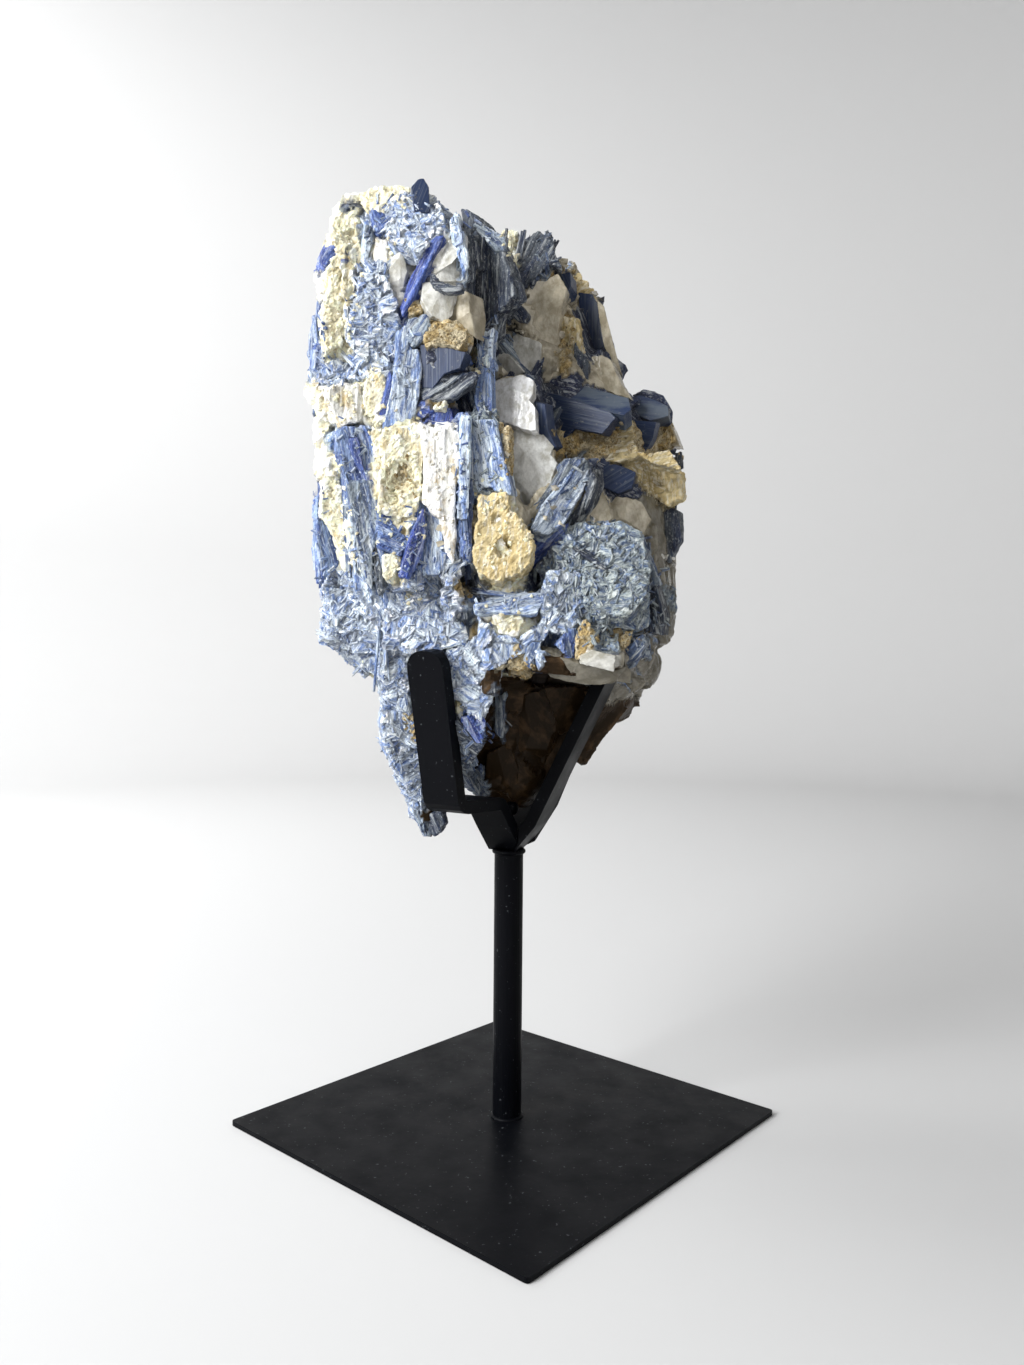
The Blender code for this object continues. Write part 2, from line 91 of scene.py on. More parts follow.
# Kinds of ground: tint, mineral, height of the relief and crumpling of the fibres in millimetres
KYANITE, FELDSPAR, QUARTZ, CRUST, SHADED_SMOKY_QUARTZ = range(5)
GROUND = {
    "pale": ("pale", KYANITE, 0.7, 0.8),
    "scaly": ("bright", KYANITE, 1.0, 4.0),
    "mottled": ("ash", KYANITE, 1.0, 4.0),
    "blue": ("blue", KYANITE, 0.7, 0.8),
    "vivid": ("vivid", KYANITE, 0.5, 0.4),
    "navy": ("navy", KYANITE, 0.35, 0.2),
    "prism": ("steel", KYANITE, 0.12, 0.0),
    "face": ("navy", KYANITE, 0.12, 0.0),
    "grey": ("grey", KYANITE, 0.7, 0.8),
    # Partly painted shade: this dark ground also stands for the shade in cracks, under a ledge and on a
    # shaded wall in view
    "slate": ("slate", KYANITE, 0.6, 0.8),
    "white": ("white", FELDSPAR, 0.7, 0.3),
    "cream": ("cream", FELDSPAR, 1.0, 0.5),
    "honey": ("honey", FELDSPAR, 1.0, 0.5),
    "ochre": ("ochre", CRUST, 1.0, 1.0),
    # The brown ground is smoky quartz with the hollow's shade painted into its very dark tint
    "brown": ("brown", SHADED_SMOKY_QUARTZ, 0.5, 0.0),
    "glass": ("glass", QUARTZ, 0.4, 0.0),
    "clear": ("clear", QUARTZ, 0.5, 0.0),
    "smoky": ("smoky", QUARTZ, 0.7, 0.0),
    # Painted shade: the same quartz as the smoky ground, with a darker tint where it lies in shade
    "murky": ("murky", QUARTZ, 0.7, 0.0),
    # Painted shade: the black ground fills gaps and a crevice, drawn with the crust material
    "black": ("black", CRUST, 0.4, 0.0),
}

# Ground of the side that faces the viewer: kind, the two ends of a streak of it in pixels of the
# view, and its half width; the streak also gives the direction of the fibres
# The narrow slate streaks lie in cracks and under the crown's ledge, and the wide one on the steep wall by
# the ridge: there the slate is painted shade
STREAKS = [
    # Crown of the front column
    ("navy", 411, 195, 424, 178, 7), ("cream", 360, 197, 412, 198, 12), ("slate", 344, 205, 368, 206, 4),
    ("cream", 348, 215, 340, 250, 14), ("vivid", 322, 256, 345, 256, 9), ("cream", 350, 262, 336, 360, 16),
    ("grey", 370, 224, 364, 262, 7), ("blue", 377, 210, 377, 228, 8), ("scaly", 382, 222, 440, 214, 22),
    ("navy", 396, 226, 412, 220, 6), ("cream", 378, 250, 394, 250, 14), ("clear", 397, 252, 397, 297, 7),
    ("vivid", 439, 236, 403, 319, 6), ("clear", 428, 250, 458, 256, 20), ("clear", 430, 300, 456, 304, 16),
    ("ochre", 410, 305, 422, 304, 7), ("pale", 453, 216, 465, 281, 5), ("scaly", 372, 268, 372, 316, 18),
    ("slate", 357, 268, 357, 297, 4), ("slate", 484, 222, 484, 330, 20), ("pale", 472, 226, 500, 236, 8),
    ("blue", 462, 212, 468, 222, 6),
    # Middle of the front column
    ("blue", 318, 312, 318, 364, 8), ("scaly", 326, 368, 358, 368, 13), ("cream", 330, 404, 360, 404, 19),
    ("scaly", 356, 316, 390, 356, 20), ("slate", 366, 346, 384, 356, 4), ("cream", 376, 372, 376, 416, 10),
    ("vivid", 386, 380, 384, 414, 5), ("pale", 410, 334, 400, 422, 11), ("ochre", 428, 332, 466, 334, 13),
    ("navy", 424, 364, 464, 364, 24), ("slate", 428, 396, 476, 372, 7), ("cream", 474, 348, 476, 368, 7),
    ("pale", 487, 328, 486, 372, 10), ("grey", 484, 370, 482, 418, 8), ("ochre", 434, 404, 446, 404, 6),
    ("vivid", 428, 416, 450, 416, 9), ("pale", 350, 430, 364, 582, 15), ("vivid", 352, 436, 368, 490, 7),
    ("cream", 375, 424, 375, 460, 7), ("cream", 398, 430, 400, 530, 25), ("ochre", 400, 462, 402, 500, 15),
    ("white", 440, 424, 444, 512, 19), ("smoky", 444, 506, 448, 550, 9), ("blue", 464, 418, 464, 560, 8),
    ("mottled", 484, 416, 488, 492, 18), ("ochre", 502, 424, 506, 472, 7), ("cream", 500, 494, 506, 576, 28),
    ("cream", 330, 462, 352, 560, 11), ("blue", 320, 486, 324, 588, 7), ("blue", 378, 516, 408, 548, 9),
    ("blue", 418, 508, 414, 578, 10), ("cream", 386, 558, 400, 576, 10), ("slate", 370, 536, 374, 584, 6),
    # Lower front
    ("scaly", 440, 560, 400, 640, 34), ("cream", 404, 596, 414, 598, 8), ("navy", 391, 624, 402, 640, 7),
    ("scaly", 330, 590, 360, 660, 26), ("cream", 362, 662, 380, 680, 6), ("pale", 384, 578, 382, 690, 6),
    ("slate", 472, 586, 490, 594, 9), ("pale", 476, 604, 530, 600, 10), ("ochre", 458, 584, 466, 592, 6),
    # The black streaks on this line and the next are painted shade in small gaps
    ("slate", 464, 616, 466, 640, 7), ("ochre", 472, 632, 476, 640, 6), ("black", 474, 642, 478, 648, 4),
    ("cream", 498, 618, 524, 618, 13), ("black", 498, 660, 518, 654, 5), ("ochre", 512, 656, 526, 662, 8),
    ("pale", 532, 648, 540, 664, 7), ("navy", 532, 584, 558, 566, 9), ("scaly", 430, 640, 450, 720, 26),
    ("scaly", 388, 700, 412, 800, 20), ("ochre", 408, 712, 414, 738, 6), ("blue", 466, 716, 484, 740, 12),
    ("grey", 460, 744, 470, 768, 10), ("grey", 466, 776, 480, 792, 10), ("grey", 416, 812, 424, 832, 6),
    # The brown streaks here are smoky quartz low under the rock and in the hollow under the ledge, darkened
    # to paint their shade
    ("brown", 430, 814, 436, 832, 8), ("brown", 480, 700, 580, 700, 12), ("brown", 484, 740, 550, 790, 40),
    ("slate", 496, 694, 502, 738, 7), ("brown", 548, 674, 620, 674, 14),
    # Spur and the lump at the lower right
    ("grey", 580, 464, 540, 520, 14), ("slate", 560, 516, 540, 560, 12), ("smoky", 580, 490, 604, 516, 16),
    ("mottled", 570, 540, 640, 600, 34), ("pale", 564, 530, 616, 532, 9), ("slate", 580, 552, 606, 568, 4),
    ("mottled", 556, 570, 600, 640, 24), ("navy", 624, 552, 638, 572, 9), ("grey", 636, 540, 656, 630, 12),
    ("vivid", 568, 638, 574, 656, 8), ("ochre", 584, 624, 596, 654, 9), ("ochre", 614, 632, 632, 646, 9),
    # The black streak on this line is painted shade in a gap
    ("clear", 584, 658, 616, 660, 10), ("grey", 634, 634, 648, 656, 9), ("black", 652, 578, 657, 588, 5),
    ("grey", 570, 590, 560, 630, 16),
    # Back right mass
    ("cream", 508, 232, 514, 264, 10), ("slate", 520, 290, 542, 232, 16), ("grey", 534, 286, 552, 240, 12),
    ("smoky", 532, 290, 552, 368, 22), ("ochre", 566, 276, 586, 280, 10), ("smoky", 560, 250, 600, 300, 12),
    ("ochre", 566, 324, 562, 372, 8), ("face", 586, 326, 594, 352, 12), ("face", 600, 300, 622, 394, 12),
    ("smoky", 590, 372, 614, 390, 11), ("face", 556, 384, 626, 404, 15), ("face", 634, 404, 664, 410, 13),
    ("face", 540, 384, 556, 430, 15), ("ochre", 556, 438, 616, 446, 15), ("ochre", 580, 430, 660, 450, 16),
    # The darkened smoky quartz streaks on these two lines paint the shade of the right side
    ("face", 600, 472, 634, 488, 17), ("honey", 644, 476, 680, 494, 20), ("murky", 644, 508, 674, 570, 18),
    ("white", 666, 558, 676, 566, 8), ("murky", 640, 596, 664, 660, 26), ("murky", 604, 690, 640, 660, 24),
    # The brown streak on this line is smoky quartz low in the hollow, darkened to paint its shade
    ("brown", 596, 730, 616, 712, 18), ("smoky", 516, 376, 532, 428, 20), ("smoky", 520, 430, 540, 520, 26),
    # The black streak on this line is painted shade in the crevice between the front column and the back mass
    ("black", 500, 322, 516, 332, 6), ("grey", 500, 336, 534, 374, 14),
]

# Crystals and lumps in view: kind, lean of the fibres to the right of upright in degrees, thickness
# and how far it stands out in millimetres, how far its face is turned to the left and tilted up in
# degrees, and its outline in pixels of the view
SLABS = [
    ("cream", 0, 7, 1, 0, 35, [(359, 193), (372, 187), (400, 186), (412, 189), (411, 198), (394, 208),
     (381, 211), (367, 205)]),
    ("navy", 20, 4, 0.5, -10, 10, [(411, 187), (418, 179), (424, 178), (429, 187), (430, 212),
     (414, 212)]),
    ("scaly", 50, 7, 0.8, 5, 25, [(393, 213), (408, 201), (427, 192), (439, 201), (444, 215), (442, 229),
     (433, 240), (419, 251), (405, 245), (391, 240), (385, 226)]),
    ("cream", 10, 6, 0.8, -15, 10, [(337, 212), (356, 208), (365, 218), (363, 240), (356, 253),
     (342, 248), (331, 240), (331, 223)]),
    ("vivid", 30, 4, 0.6, -20, 0, [(322, 248), (335, 242), (343, 251), (339, 260), (326, 266),
     (320, 256)]),
    ("cream", 5, 6, 0.7, -20, 0, [(335, 253), (360, 242), (363, 251), (360, 289), (349, 314), (342, 347),
     (326, 352), (320, 314), (331, 281), (326, 270)]),
    ("pale", 6, 4, 1.2, -10, 0, [(365, 223), (375, 220), (372, 242), (364, 267), (362, 251)]),
    ("blue", -20, 4, 1.2, 0, 20, [(370, 211), (383, 209), (389, 223), (378, 231), (371, 226)]),
    ("white", 0, 4, 1, -5, 5, [(375, 237), (391, 240), (400, 251), (398, 259), (386, 272), (375, 270),
     (372, 253)]),
    ("clear", 5, 3, 1.2, 5, 0, [(391, 256), (402, 249), (407, 270), (400, 297), (396, 300), (387, 281)]),
    ("scaly", -25, 6, 0.8, -5, -5, [(364, 270), (385, 275), (397, 303), (400, 336), (396, 352),
     (386, 363), (361, 355), (345, 341), (352, 308), (357, 289)]),
    ("vivid", 28, 4, 1.6, 15, 0, [(433, 238), (444, 234), (438, 248), (422, 275), (413, 297), (402, 316),
     (400, 308), (408, 281), (419, 261)]),
    ("clear", 0, 6, 1, 10, 0, [(439, 240), (452, 238), (460, 253), (464, 270), (463, 278), (444, 281),
     (433, 272), (435, 253)]),
    ("clear", 10, 7, 1.6, -15, 5, [(424, 278), (433, 281), (444, 292), (455, 292), (453, 314), (444, 322),
     (430, 314), (422, 297)]),
    ("smoky", 0, 7, 0.9, 40, 0, [(455, 290), (467, 292), (470, 314), (468, 336), (455, 325), (444, 322),
     (453, 312)]),
    ("ochre", 0, 4, 2, -10, 10, [(409, 305), (419, 297), (424, 305), (422, 314), (409, 315)]),
    # This slate slab and the next lie on the steep wall by the ridge and in the crevice beside it: painted
    # shade
    ("slate", -5, 6, 0.8, 40, 0, [(460, 209), (471, 212), (485, 226), (498, 242), (509, 270), (515, 294),
     (496, 314), (493, 336), (471, 336), (468, 297), (471, 270), (468, 251), (463, 223)]),
    ("slate", -35, 4, 1, 30, 0, [(504, 286), (526, 314), (523, 322), (509, 316), (507, 325), (501, 303)]),
    ("ochre", 85, 5, 1.4, 0, 15, [(427, 330), (433, 322), (452, 322), (468, 327), (467, 338), (460, 349),
     (444, 344), (424, 340)]),
    ("grey", 30, 4, 1.2, 0, 0, [(408, 318), (427, 314), (431, 325), (422, 341), (411, 347), (405, 336)]),
    ("navy", 2, 6, 0.8, 15, -5, [(420, 344), (444, 347), (466, 352), (460, 368), (444, 374), (433, 388),
     (422, 388)]),
    ("slate", 60, 4, 1.2, 10, 10, [(422, 390), (444, 377), (477, 371), (474, 382), (455, 396), (433, 401),
     (422, 399)]),
    ("navy", 40, 4, 1, 15, -10, [(449, 393), (474, 382), (477, 401), (468, 418), (455, 421), (446, 404)]),
    ("cream", 80, 3, 2, 0, 20, [(433, 403), (449, 399), (446, 407), (435, 408)]),
    ("vivid", 10, 4, 1.2, 0, 10, [(429, 410), (452, 408), (455, 423), (444, 425), (430, 423)]),
    ("cream", 0, 5, 0.6, 20, 0, [(467, 347), (482, 349), (482, 363), (479, 370), (466, 368)]),
    ("pale", 2, 4, 1.6, 15, 0, [(482, 330), (494, 327), (493, 352), (494, 368), (479, 368), (485, 352)]),
    ("blue", 3, 4, 1.4, 10, 0, [(477, 368), (492, 367), (493, 415), (479, 416), (474, 401)]),
    ("blue", 0, 5, 0.4, -30, 0, [(320, 308), (328, 309), (324, 330), (326, 347), (320, 360), (312, 352),
     (313, 330)]),
    ("scaly", 70, 5, 0.9, -10, 10, [(322, 366), (342, 352), (356, 360), (364, 377), (361, 385),
     (328, 384), (317, 377)]),
    ("white", 0, 6, 1.2, -12, 0, [(327, 385), (360, 384), (363, 407), (361, 423), (339, 425),
     (326, 393)]),
    ("cream", 10, 5, 0.9, -5, 0, [(370, 371), (383, 373), (387, 385), (381, 407), (381, 418), (364, 415),
     (363, 393)]),
    ("vivid", 15, 3, 1.2, 0, 0, [(389, 368), (394, 379), (386, 415), (378, 416), (381, 401)]),
    ("pale", 8, 5, 1.9, -8, 0, [(397, 330), (408, 325), (411, 347), (419, 349), (422, 368), (416, 415),
     (400, 427), (383, 426), (391, 393), (396, 363)]),
    ("blue", -10, 6, 1.6, -10, 0, [(337, 430), (345, 426), (364, 425), (372, 437), (375, 459), (381, 484),
     (379, 520), (350, 520), (345, 484), (335, 448)]),
    ("vivid", -18, 4, 2.6, -10, 0, [(349, 437), (359, 438), (363, 464), (372, 484), (370, 489),
     (356, 464), (349, 448)]),
    ("cream", 0, 5, 1, -5, 0, [(371, 430), (382, 429), (381, 451), (375, 459)]),
    ("cream", 0, 8, 1.6, -8, 0, [(381, 432), (400, 425), (419, 423), (424, 437), (422, 475), (419, 514),
     (400, 519), (378, 511), (378, 484), (382, 462)]),
    ("white", -3, 7, 1.9, 0, 0, [(419, 423), (460, 430), (461, 456), (455, 489), (455, 517), (438, 517),
     (422, 503), (424, 462)]),
    ("pale", 2, 5, 2.4, -5, 0, [(461, 415), (471, 415), (470, 462), (468, 520), (456, 520), (460, 462)]),
    ("pale", -12, 6, 2.2, 18, 0, [(470, 418), (494, 419), (498, 437), (509, 481), (512, 495), (482, 486),
     (471, 506), (468, 462)]),
    ("ochre", -5, 4, 1.6, 25, 0, [(496, 425), (509, 426), (509, 462), (507, 475), (498, 445)]),
    ("cream", -10, 6, 0.6, 0, 10, [(501, 231), (518, 230), (515, 242), (507, 270), (504, 251)]),
    ("slate", 25, 6, 0.8, 5, 10, [(518, 289), (509, 278), (520, 253), (531, 234), (540, 229), (551, 240),
     (562, 267), (548, 264), (531, 281)]),
    ("smoky", 0, 6, 0.6, 15, 5, [(518, 290), (540, 282), (556, 270), (566, 286), (560, 310), (556, 326),
     (558, 346), (544, 350), (536, 334), (504, 330), (510, 318), (522, 314)]),
    ("honey", 60, 5, 0.6, 10, 20, [(566, 270), (576, 270), (594, 288), (596, 306), (588, 302), (576, 294),
     (570, 286)]),
    ("face", -25, 6, 0.6, 25, 10, [(558, 274), (570, 272), (571, 286), (562, 306), (558, 302)]),
    ("honey", 5, 5, 0.8, 20, 0, [(562, 318), (576, 316), (580, 338), (582, 370), (574, 370), (570, 346),
     (560, 338)]),
    ("navy", 0, 5, 0.8, 20, 0, [(578, 292), (592, 294), (598, 306), (600, 330), (604, 346), (594, 354),
     (585, 342), (580, 322)]),
    ("smoky", -18, 6, 1.4, 30, 0, [(586, 358), (600, 354), (608, 358), (618, 382), (626, 396), (612, 392),
     (596, 386), (585, 380)]),
    ("smoky", 0, 5, 1, 10, 0, [(596, 296), (604, 306), (614, 346), (622, 374), (614, 364), (604, 346),
     (600, 322)]),
    ("slate", -5, 5, 0.6, 15, 0, [(575, 341), (589, 363), (588, 379), (578, 382), (570, 379)]),
    ("prism", 104, 7, 2.4, 10, 30, [(556, 383), (562, 380), (596, 389), (629, 398), (631, 409),
     (624, 415), (610, 412), (580, 402), (557, 394)]),
    ("face", 104, 7, 1.8, 25, -5, [(536, 391), (557, 394), (610, 412), (616, 418), (602, 434), (574, 429),
     (556, 447), (540, 434)]),
    ("prism", 100, 8, 1.8, 15, 5, [(634, 396), (640, 395), (656, 400), (668, 406), (669, 416), (650, 421),
     (631, 412)]),
    ("face", 100, 5, 1, 25, -10, [(634, 420), (656, 422), (652, 440), (644, 454), (634, 442)]),
    ("face", 5, 5, 1.6, 30, -10, [(534, 401), (545, 404), (548, 430), (556, 447), (548, 452),
     (538, 437)]),
    ("honey", 80, 6, 0.8, 15, 10, [(558, 448), (576, 432), (602, 436), (632, 420), (634, 440), (644, 455),
     (668, 448), (680, 468), (656, 464), (640, 455), (616, 462), (596, 460)]),
    ("smoky", 0, 5, 0.8, 25, 0, [(657, 422), (668, 418), (674, 430), (680, 446), (668, 446), (654, 452),
     (652, 440)]),
    ("ochre", 0, 5, 0.6, 20, 10, [(655, 419), (670, 418), (675, 440), (666, 448), (655, 445)]),
    ("navy", 60, 6, 1.6, 10, 0, [(596, 466), (616, 464), (636, 472), (632, 488), (618, 494), (600, 486)]),
    ("honey", 0, 6, 0.6, 20, 0, [(640, 474), (660, 466), (680, 474), (683, 496), (668, 506), (648, 490)]),
    ("cream", -18, 5, 1.4, -15, 0, [(323, 469), (335, 469), (349, 513), (354, 540), (353, 562),
     (343, 554), (331, 529), (320, 513)]),
    ("blue", -14, 5, 0.9, -25, 0, [(317, 485), (320, 513), (331, 532), (345, 560), (331, 571), (320, 584),
     (317, 549)]),
    ("grey", -12, 5, 1.6, -8, 0, [(345, 480), (379, 480), (379, 524), (372, 551), (372, 590), (359, 568),
     (352, 521)]),
    ("slate", -8, 3, 1.6, 20, 0, [(368, 532), (376, 535), (382, 562), (383, 584), (378, 595),
     (371, 562)]),
    ("blue", -62, 4, 1.8, -5, 10, [(376, 518), (405, 535), (408, 546), (400, 554), (378, 546)]),
    ("cream", 0, 4, 1.4, -5, 0, [(382, 554), (402, 554), (400, 565), (391, 579), (385, 581), (382, 568)]),
    ("vivid", 18, 5, 2.6, -15, 0, [(424, 506), (427, 535), (422, 554), (411, 579), (400, 576), (408, 543),
     (416, 521)]),
    ("pale", -5, 5, 1.8, 0, 0, [(427, 502), (438, 510), (446, 549), (444, 573), (422, 576), (424, 549)]),
    ("white", 5, 5, 1.6, 0, 0, [(437, 507), (452, 496), (456, 535), (453, 562), (445, 551)]),
    ("scaly", -15, 6, 0.8, -12, -8, [(323, 587), (370, 590), (381, 612), (379, 677), (370, 672),
     (337, 631), (331, 609)]),
    ("honey", 10, 9, 2.2, 5, 5, [(477, 496), (507, 491), (512, 510), (526, 524), (534, 543), (531, 560),
     (520, 573), (498, 581), (479, 573), (472, 557), (474, 532), (479, 513)]),
    ("vivid", 50, 5, 0.6, 20, -10, [(531, 529), (551, 535), (564, 524), (567, 546), (545, 565),
     (531, 576), (523, 571), (533, 554)]),
    ("scaly", 15, 7, 1, -5, 5, [(394, 590), (455, 581), (471, 612), (466, 645), (444, 650), (408, 653),
     (383, 645), (385, 612)]),
    ("navy", 20, 3, 1.6, -10, 0, [(389, 625), (400, 617), (405, 631), (394, 642)]),
    ("scaly", -25, 7, 1.2, 0, 0, [(444, 651), (466, 645), (477, 634), (487, 672), (501, 672), (493, 697),
     (482, 721), (468, 713), (455, 697)]),
    ("vivid", -30, 4, 1.8, -5, 0, [(460, 719), (479, 710), (486, 721), (482, 741), (477, 743)]),
    ("cream", -40, 3, 1.8, -5, 0, [(455, 697), (471, 710), (460, 719), (456, 713)]),
    ("slate", -60, 5, 0.8, 10, -20, [(455, 721), (477, 743), (487, 743), (466, 771), (457, 771)]),
    ("grey", -35, 4, 1, 20, 20, [(460, 773), (482, 763), (482, 787), (477, 798)]),
    ("grey", -4, 3, 1.6, 20, 0, [(494, 697), (505, 691), (503, 721), (500, 738), (493, 732)]),
    ("scaly", -10, 6, 1.2, -15, 0, [(381, 650), (408, 656), (412, 716), (386, 694), (381, 672)]),
    ("scaly", -18, 6, 1.2, -20, -5, [(386, 705), (411, 719), (419, 754), (424, 804), (413, 795),
     (394, 765), (383, 743), (381, 721)]),
    ("slate", -20, 4, 1, 20, -10, [(430, 813), (441, 813), (444, 826), (435, 837), (427, 834)]),
    ("pale", 35, 6, 2.4, -10, 10, [(581, 459), (590, 468), (585, 488), (573, 510), (564, 525), (548, 536),
     (531, 529), (542, 505), (564, 480)]),
    ("slate", 32, 6, 1.6, 40, -10, [(590, 467), (586, 491), (575, 510), (566, 525), (575, 525),
     (586, 507), (594, 485)]),
    ("smoky", 20, 4, 1, 15, 5, [(590, 466), (594, 477), (605, 496), (611, 516), (600, 527), (575, 524),
     (573, 518), (586, 496)]),
    ("mottled", 60, 8, 1.8, 8, 25, [(564, 527), (581, 521), (592, 527), (619, 521), (641, 532),
     (649, 560), (647, 595), (630, 612), (603, 617), (583, 601), (581, 571), (564, 549)]),
    ("slate", -55, 2, 2.4, 0, 20, [(570, 546), (578, 546), (607, 566), (604, 571)]),
    ("grey", -20, 4, 2, 30, 0, [(630, 529), (638, 532), (659, 584), (652, 588)]),
    ("slate", -12, 5, 1.6, 35, 0, [(647, 560), (663, 612), (662, 634), (649, 634), (644, 595)]),
    ("scaly", 40, 6, 1.4, -5, 0, [(548, 571), (581, 571), (583, 601), (603, 617), (589, 612), (564, 634),
     (545, 628), (542, 595)]),
    ("mottled", 10, 6, 1.2, 10, -15, [(603, 617), (630, 612), (647, 598), (649, 628), (633, 634),
     (616, 645), (600, 642)]),
    ("pale", 72, 4, 2.6, -5, 15, [(474, 603), (526, 590), (537, 592), (545, 601), (537, 614), (493, 612),
     (477, 612)]),
    ("cream", 40, 5, 2.4, -5, 0, [(493, 614), (518, 609), (523, 620), (518, 636), (501, 634)]),
    ("scaly", 20, 6, 1.4, 0, -10, [(479, 617), (498, 634), (518, 639), (537, 628), (545, 617), (548, 634),
     (537, 650), (515, 656), (487, 672), (477, 645)]),
    ("grey", 15, 3, 2, -10, -10, [(529, 645), (542, 642), (542, 658), (531, 669), (526, 661)]),
    ("ochre", 10, 3, 1.2, 0, -10, [(512, 656), (526, 653), (529, 667), (515, 672), (507, 669)]),
    # This black slab is painted shade in a gap
    ("black", 60, 3, 1.4, 10, 10, [(496, 658), (518, 650), (515, 658), (501, 669), (494, 669)]),
    ("blue", -15, 4, 2, -15, -5, [(564, 634), (578, 625), (578, 645), (573, 661), (556, 645)]),
    ("ochre", 10, 4, 2, 0, -5, [(578, 628), (586, 620), (603, 645), (594, 653), (575, 661)]),
    ("ochre", -20, 4, 1.8, 10, -10, [(616, 639), (633, 628), (630, 645), (619, 650)]),
    ("clear", 80, 6, 2.2, 0, -5, [(581, 656), (592, 650), (616, 656), (614, 672), (581, 664)]),
    # This slab faces down under the lump: smoky quartz darkened to paint its shade
    ("murky", 80, 8, 1.4, 0, -35, [(542, 661), (581, 667), (616, 672), (627, 669), (614, 684), (586, 686),
     (551, 682), (537, 669)]),
    ("grey", 45, 4, 1.6, 20, -10, [(616, 656), (644, 634), (649, 645), (633, 667), (619, 672)]),
    # The brown slabs are panels of the hollow under the ledge: smoky quartz darkened to paint its shade
    ("brown", 10, 4, 0.6, 10, -10, [(487, 754), (509, 743), (518, 768), (515, 806), (498, 795),
     (485, 782)]),
    ("brown", -20, 4, 0.8, 0, -20, [(518, 699), (564, 688), (551, 754), (531, 768), (518, 749)]),
    ("glass", 0, 4, 7, 16, 8, [(494, 379), (503, 377), (523, 373), (533, 379), (533, 393), (529, 399),
     (535, 407), (536, 430), (523, 430), (509, 423), (494, 421)]),
    ("glass", 0, 5, 4, 22, 2, [(511, 425), (526, 430), (542, 431), (549, 442), (546, 451), (553, 460),
     (549, 481), (549, 495), (537, 514), (526, 521), (515, 514), (507, 478), (511, 461)]),
    ("clear", 0, 4, 0.9, 25, 5, [(496, 329), (538, 340), (538, 363), (531, 371), (512, 363), (496, 347)]),
    ("clear", 0, 4, 0.9, 25, -8, [(494, 347), (509, 355), (523, 371), (509, 377), (494, 379)]),
    ("slate", 100, 2, 4, 5, 20, [(430, 272), (444, 282), (455, 286), (464, 282), (463, 289), (449, 293),
     (435, 286), (429, 279)]),
    ("pale", -15, 2, 4, 15, 0, [(450, 218), (457, 215), (460, 231), (468, 253), (468, 264), (463, 281),
     (460, 264), (452, 240)]),
    ("grey", -40, 4, 1, 10, 15, [(471, 222), (488, 226), (504, 237), (507, 250), (496, 250), (479, 234)]),
    ("slate", 5, 2, 1, 10, 0, [(674, 451), (682, 451), (684, 470), (677, 470)]),
    # More panels of the hollow: smoky quartz darkened to paint its shade
    ("brown", 10, 4, 1, 20, -25, [(506, 694), (546, 690), (557, 731), (541, 776), (516, 771)]),
    ("brown", 30, 4, 1.6, -10, -30, [(545, 690), (592, 692), (586, 721), (560, 736)]),
    ("brown", 0, 4, 1.2, 5, -10, [(556, 732), (586, 719), (573, 761), (551, 789), (541, 775)]),
    ("smoky", 0, 5, 1.2, 15, 0, [(592, 490), (610, 493), (622, 497), (640, 500), (650, 518), (640, 538),
     (612, 520), (598, 520)]),
    ("slate", -8, 5, 1, 20, 0, [(660, 506), (680, 511), (681, 540), (668, 562), (655, 540)]),
]

# Pits in the lumps: place and radius in pixels of the view, depth in millimetres
PITS = [
    (400, 476, 17, 3.6), (392, 497, 9, 2.6), (416, 484, 5, 3.0), (505, 547, 11, 4.2),
    (497, 518, 6, 1.5), (660, 487, 8, 2.0), (352, 236, 8, 1.5),
]

# Ground of the sides and the back: kinds and their shares, number of patches, how much sooner a patch
# ends along each axis, number of crystals, and the slope past which the underside bears none
FAR_KINDS = [("pale", 5), ("blue", 5), ("grey", 6), ("slate", 3), ("navy", 2), ("cream", 4), ("white", 1),
             ("ochre", 2), ("smoky", 2), ("vivid", 1)]
FAR_CELLS = 120
FAR_NARROWING = (1.3, 1.3, 0.7)
FAR_CRYSTALS = 900
FAR_UNDERSIDE = -0.8

# The stand's post and plate, for the weld beads
POST_RADIUS = 4.75 * MM
POST_TOP = 89 * MM
PLATE_TOP = 1.5 * MM
WELD_BEAD = 0.8 * MM
WELD_BLOB = 2.6 * MM
CROTCH_PIXEL = (511, 808)

# Fineness of the rock and of the slabs, and the share of the ground's relief that a slab has
VOXEL = 1.08 * MM
SLAB_VOXEL = 0.6 * MM
SLAB_RELIEF = 0.6

# Crumpling from which fibres lie in clumps, the stretch of endless texture that pieces are taken
# from in millimetres, the limits of a colour, and the colour of the long edges of a kyanite blade
CLUMPED = 2
TEXTURE_SPAN = 90
DARKEST, LIGHTEST = 0.004, 0.92
EDGE_TINT = (0.55, 0.60, 0.66)

# How blades lie on the rock: points tried along them, how far they bend with it, how far back it may be
BLADE_SAMPLES = 5
BLADE_SLACK = 2.5 * MM
BLADE_BACK = 60 * MM

# How slabs lie on the rock: shares of their width and height that are tried, how far back it may be,
# the percentile of the depths found, the depth in metres if none is, and the spacing of ragged corners
SLAB_SAMPLES = (0.25, 0.4, 0.5, 0.6, 0.75)
SLAB_BACK = 55 * MM
SLAB_NEARNESS = 35
SLAB_DEPTH = 0.33
RAGGED_STEP = 2.6

# Kinds with flat faces and sharp edges, their bevel and the facets broken round a quartz face
CRISP = ("prism", "face", "navy", "glass", "clear", "smoky", "murky", "brown")
CRISP_BEVEL = 0.18 * MM
QUARTZ_FACETS = 5

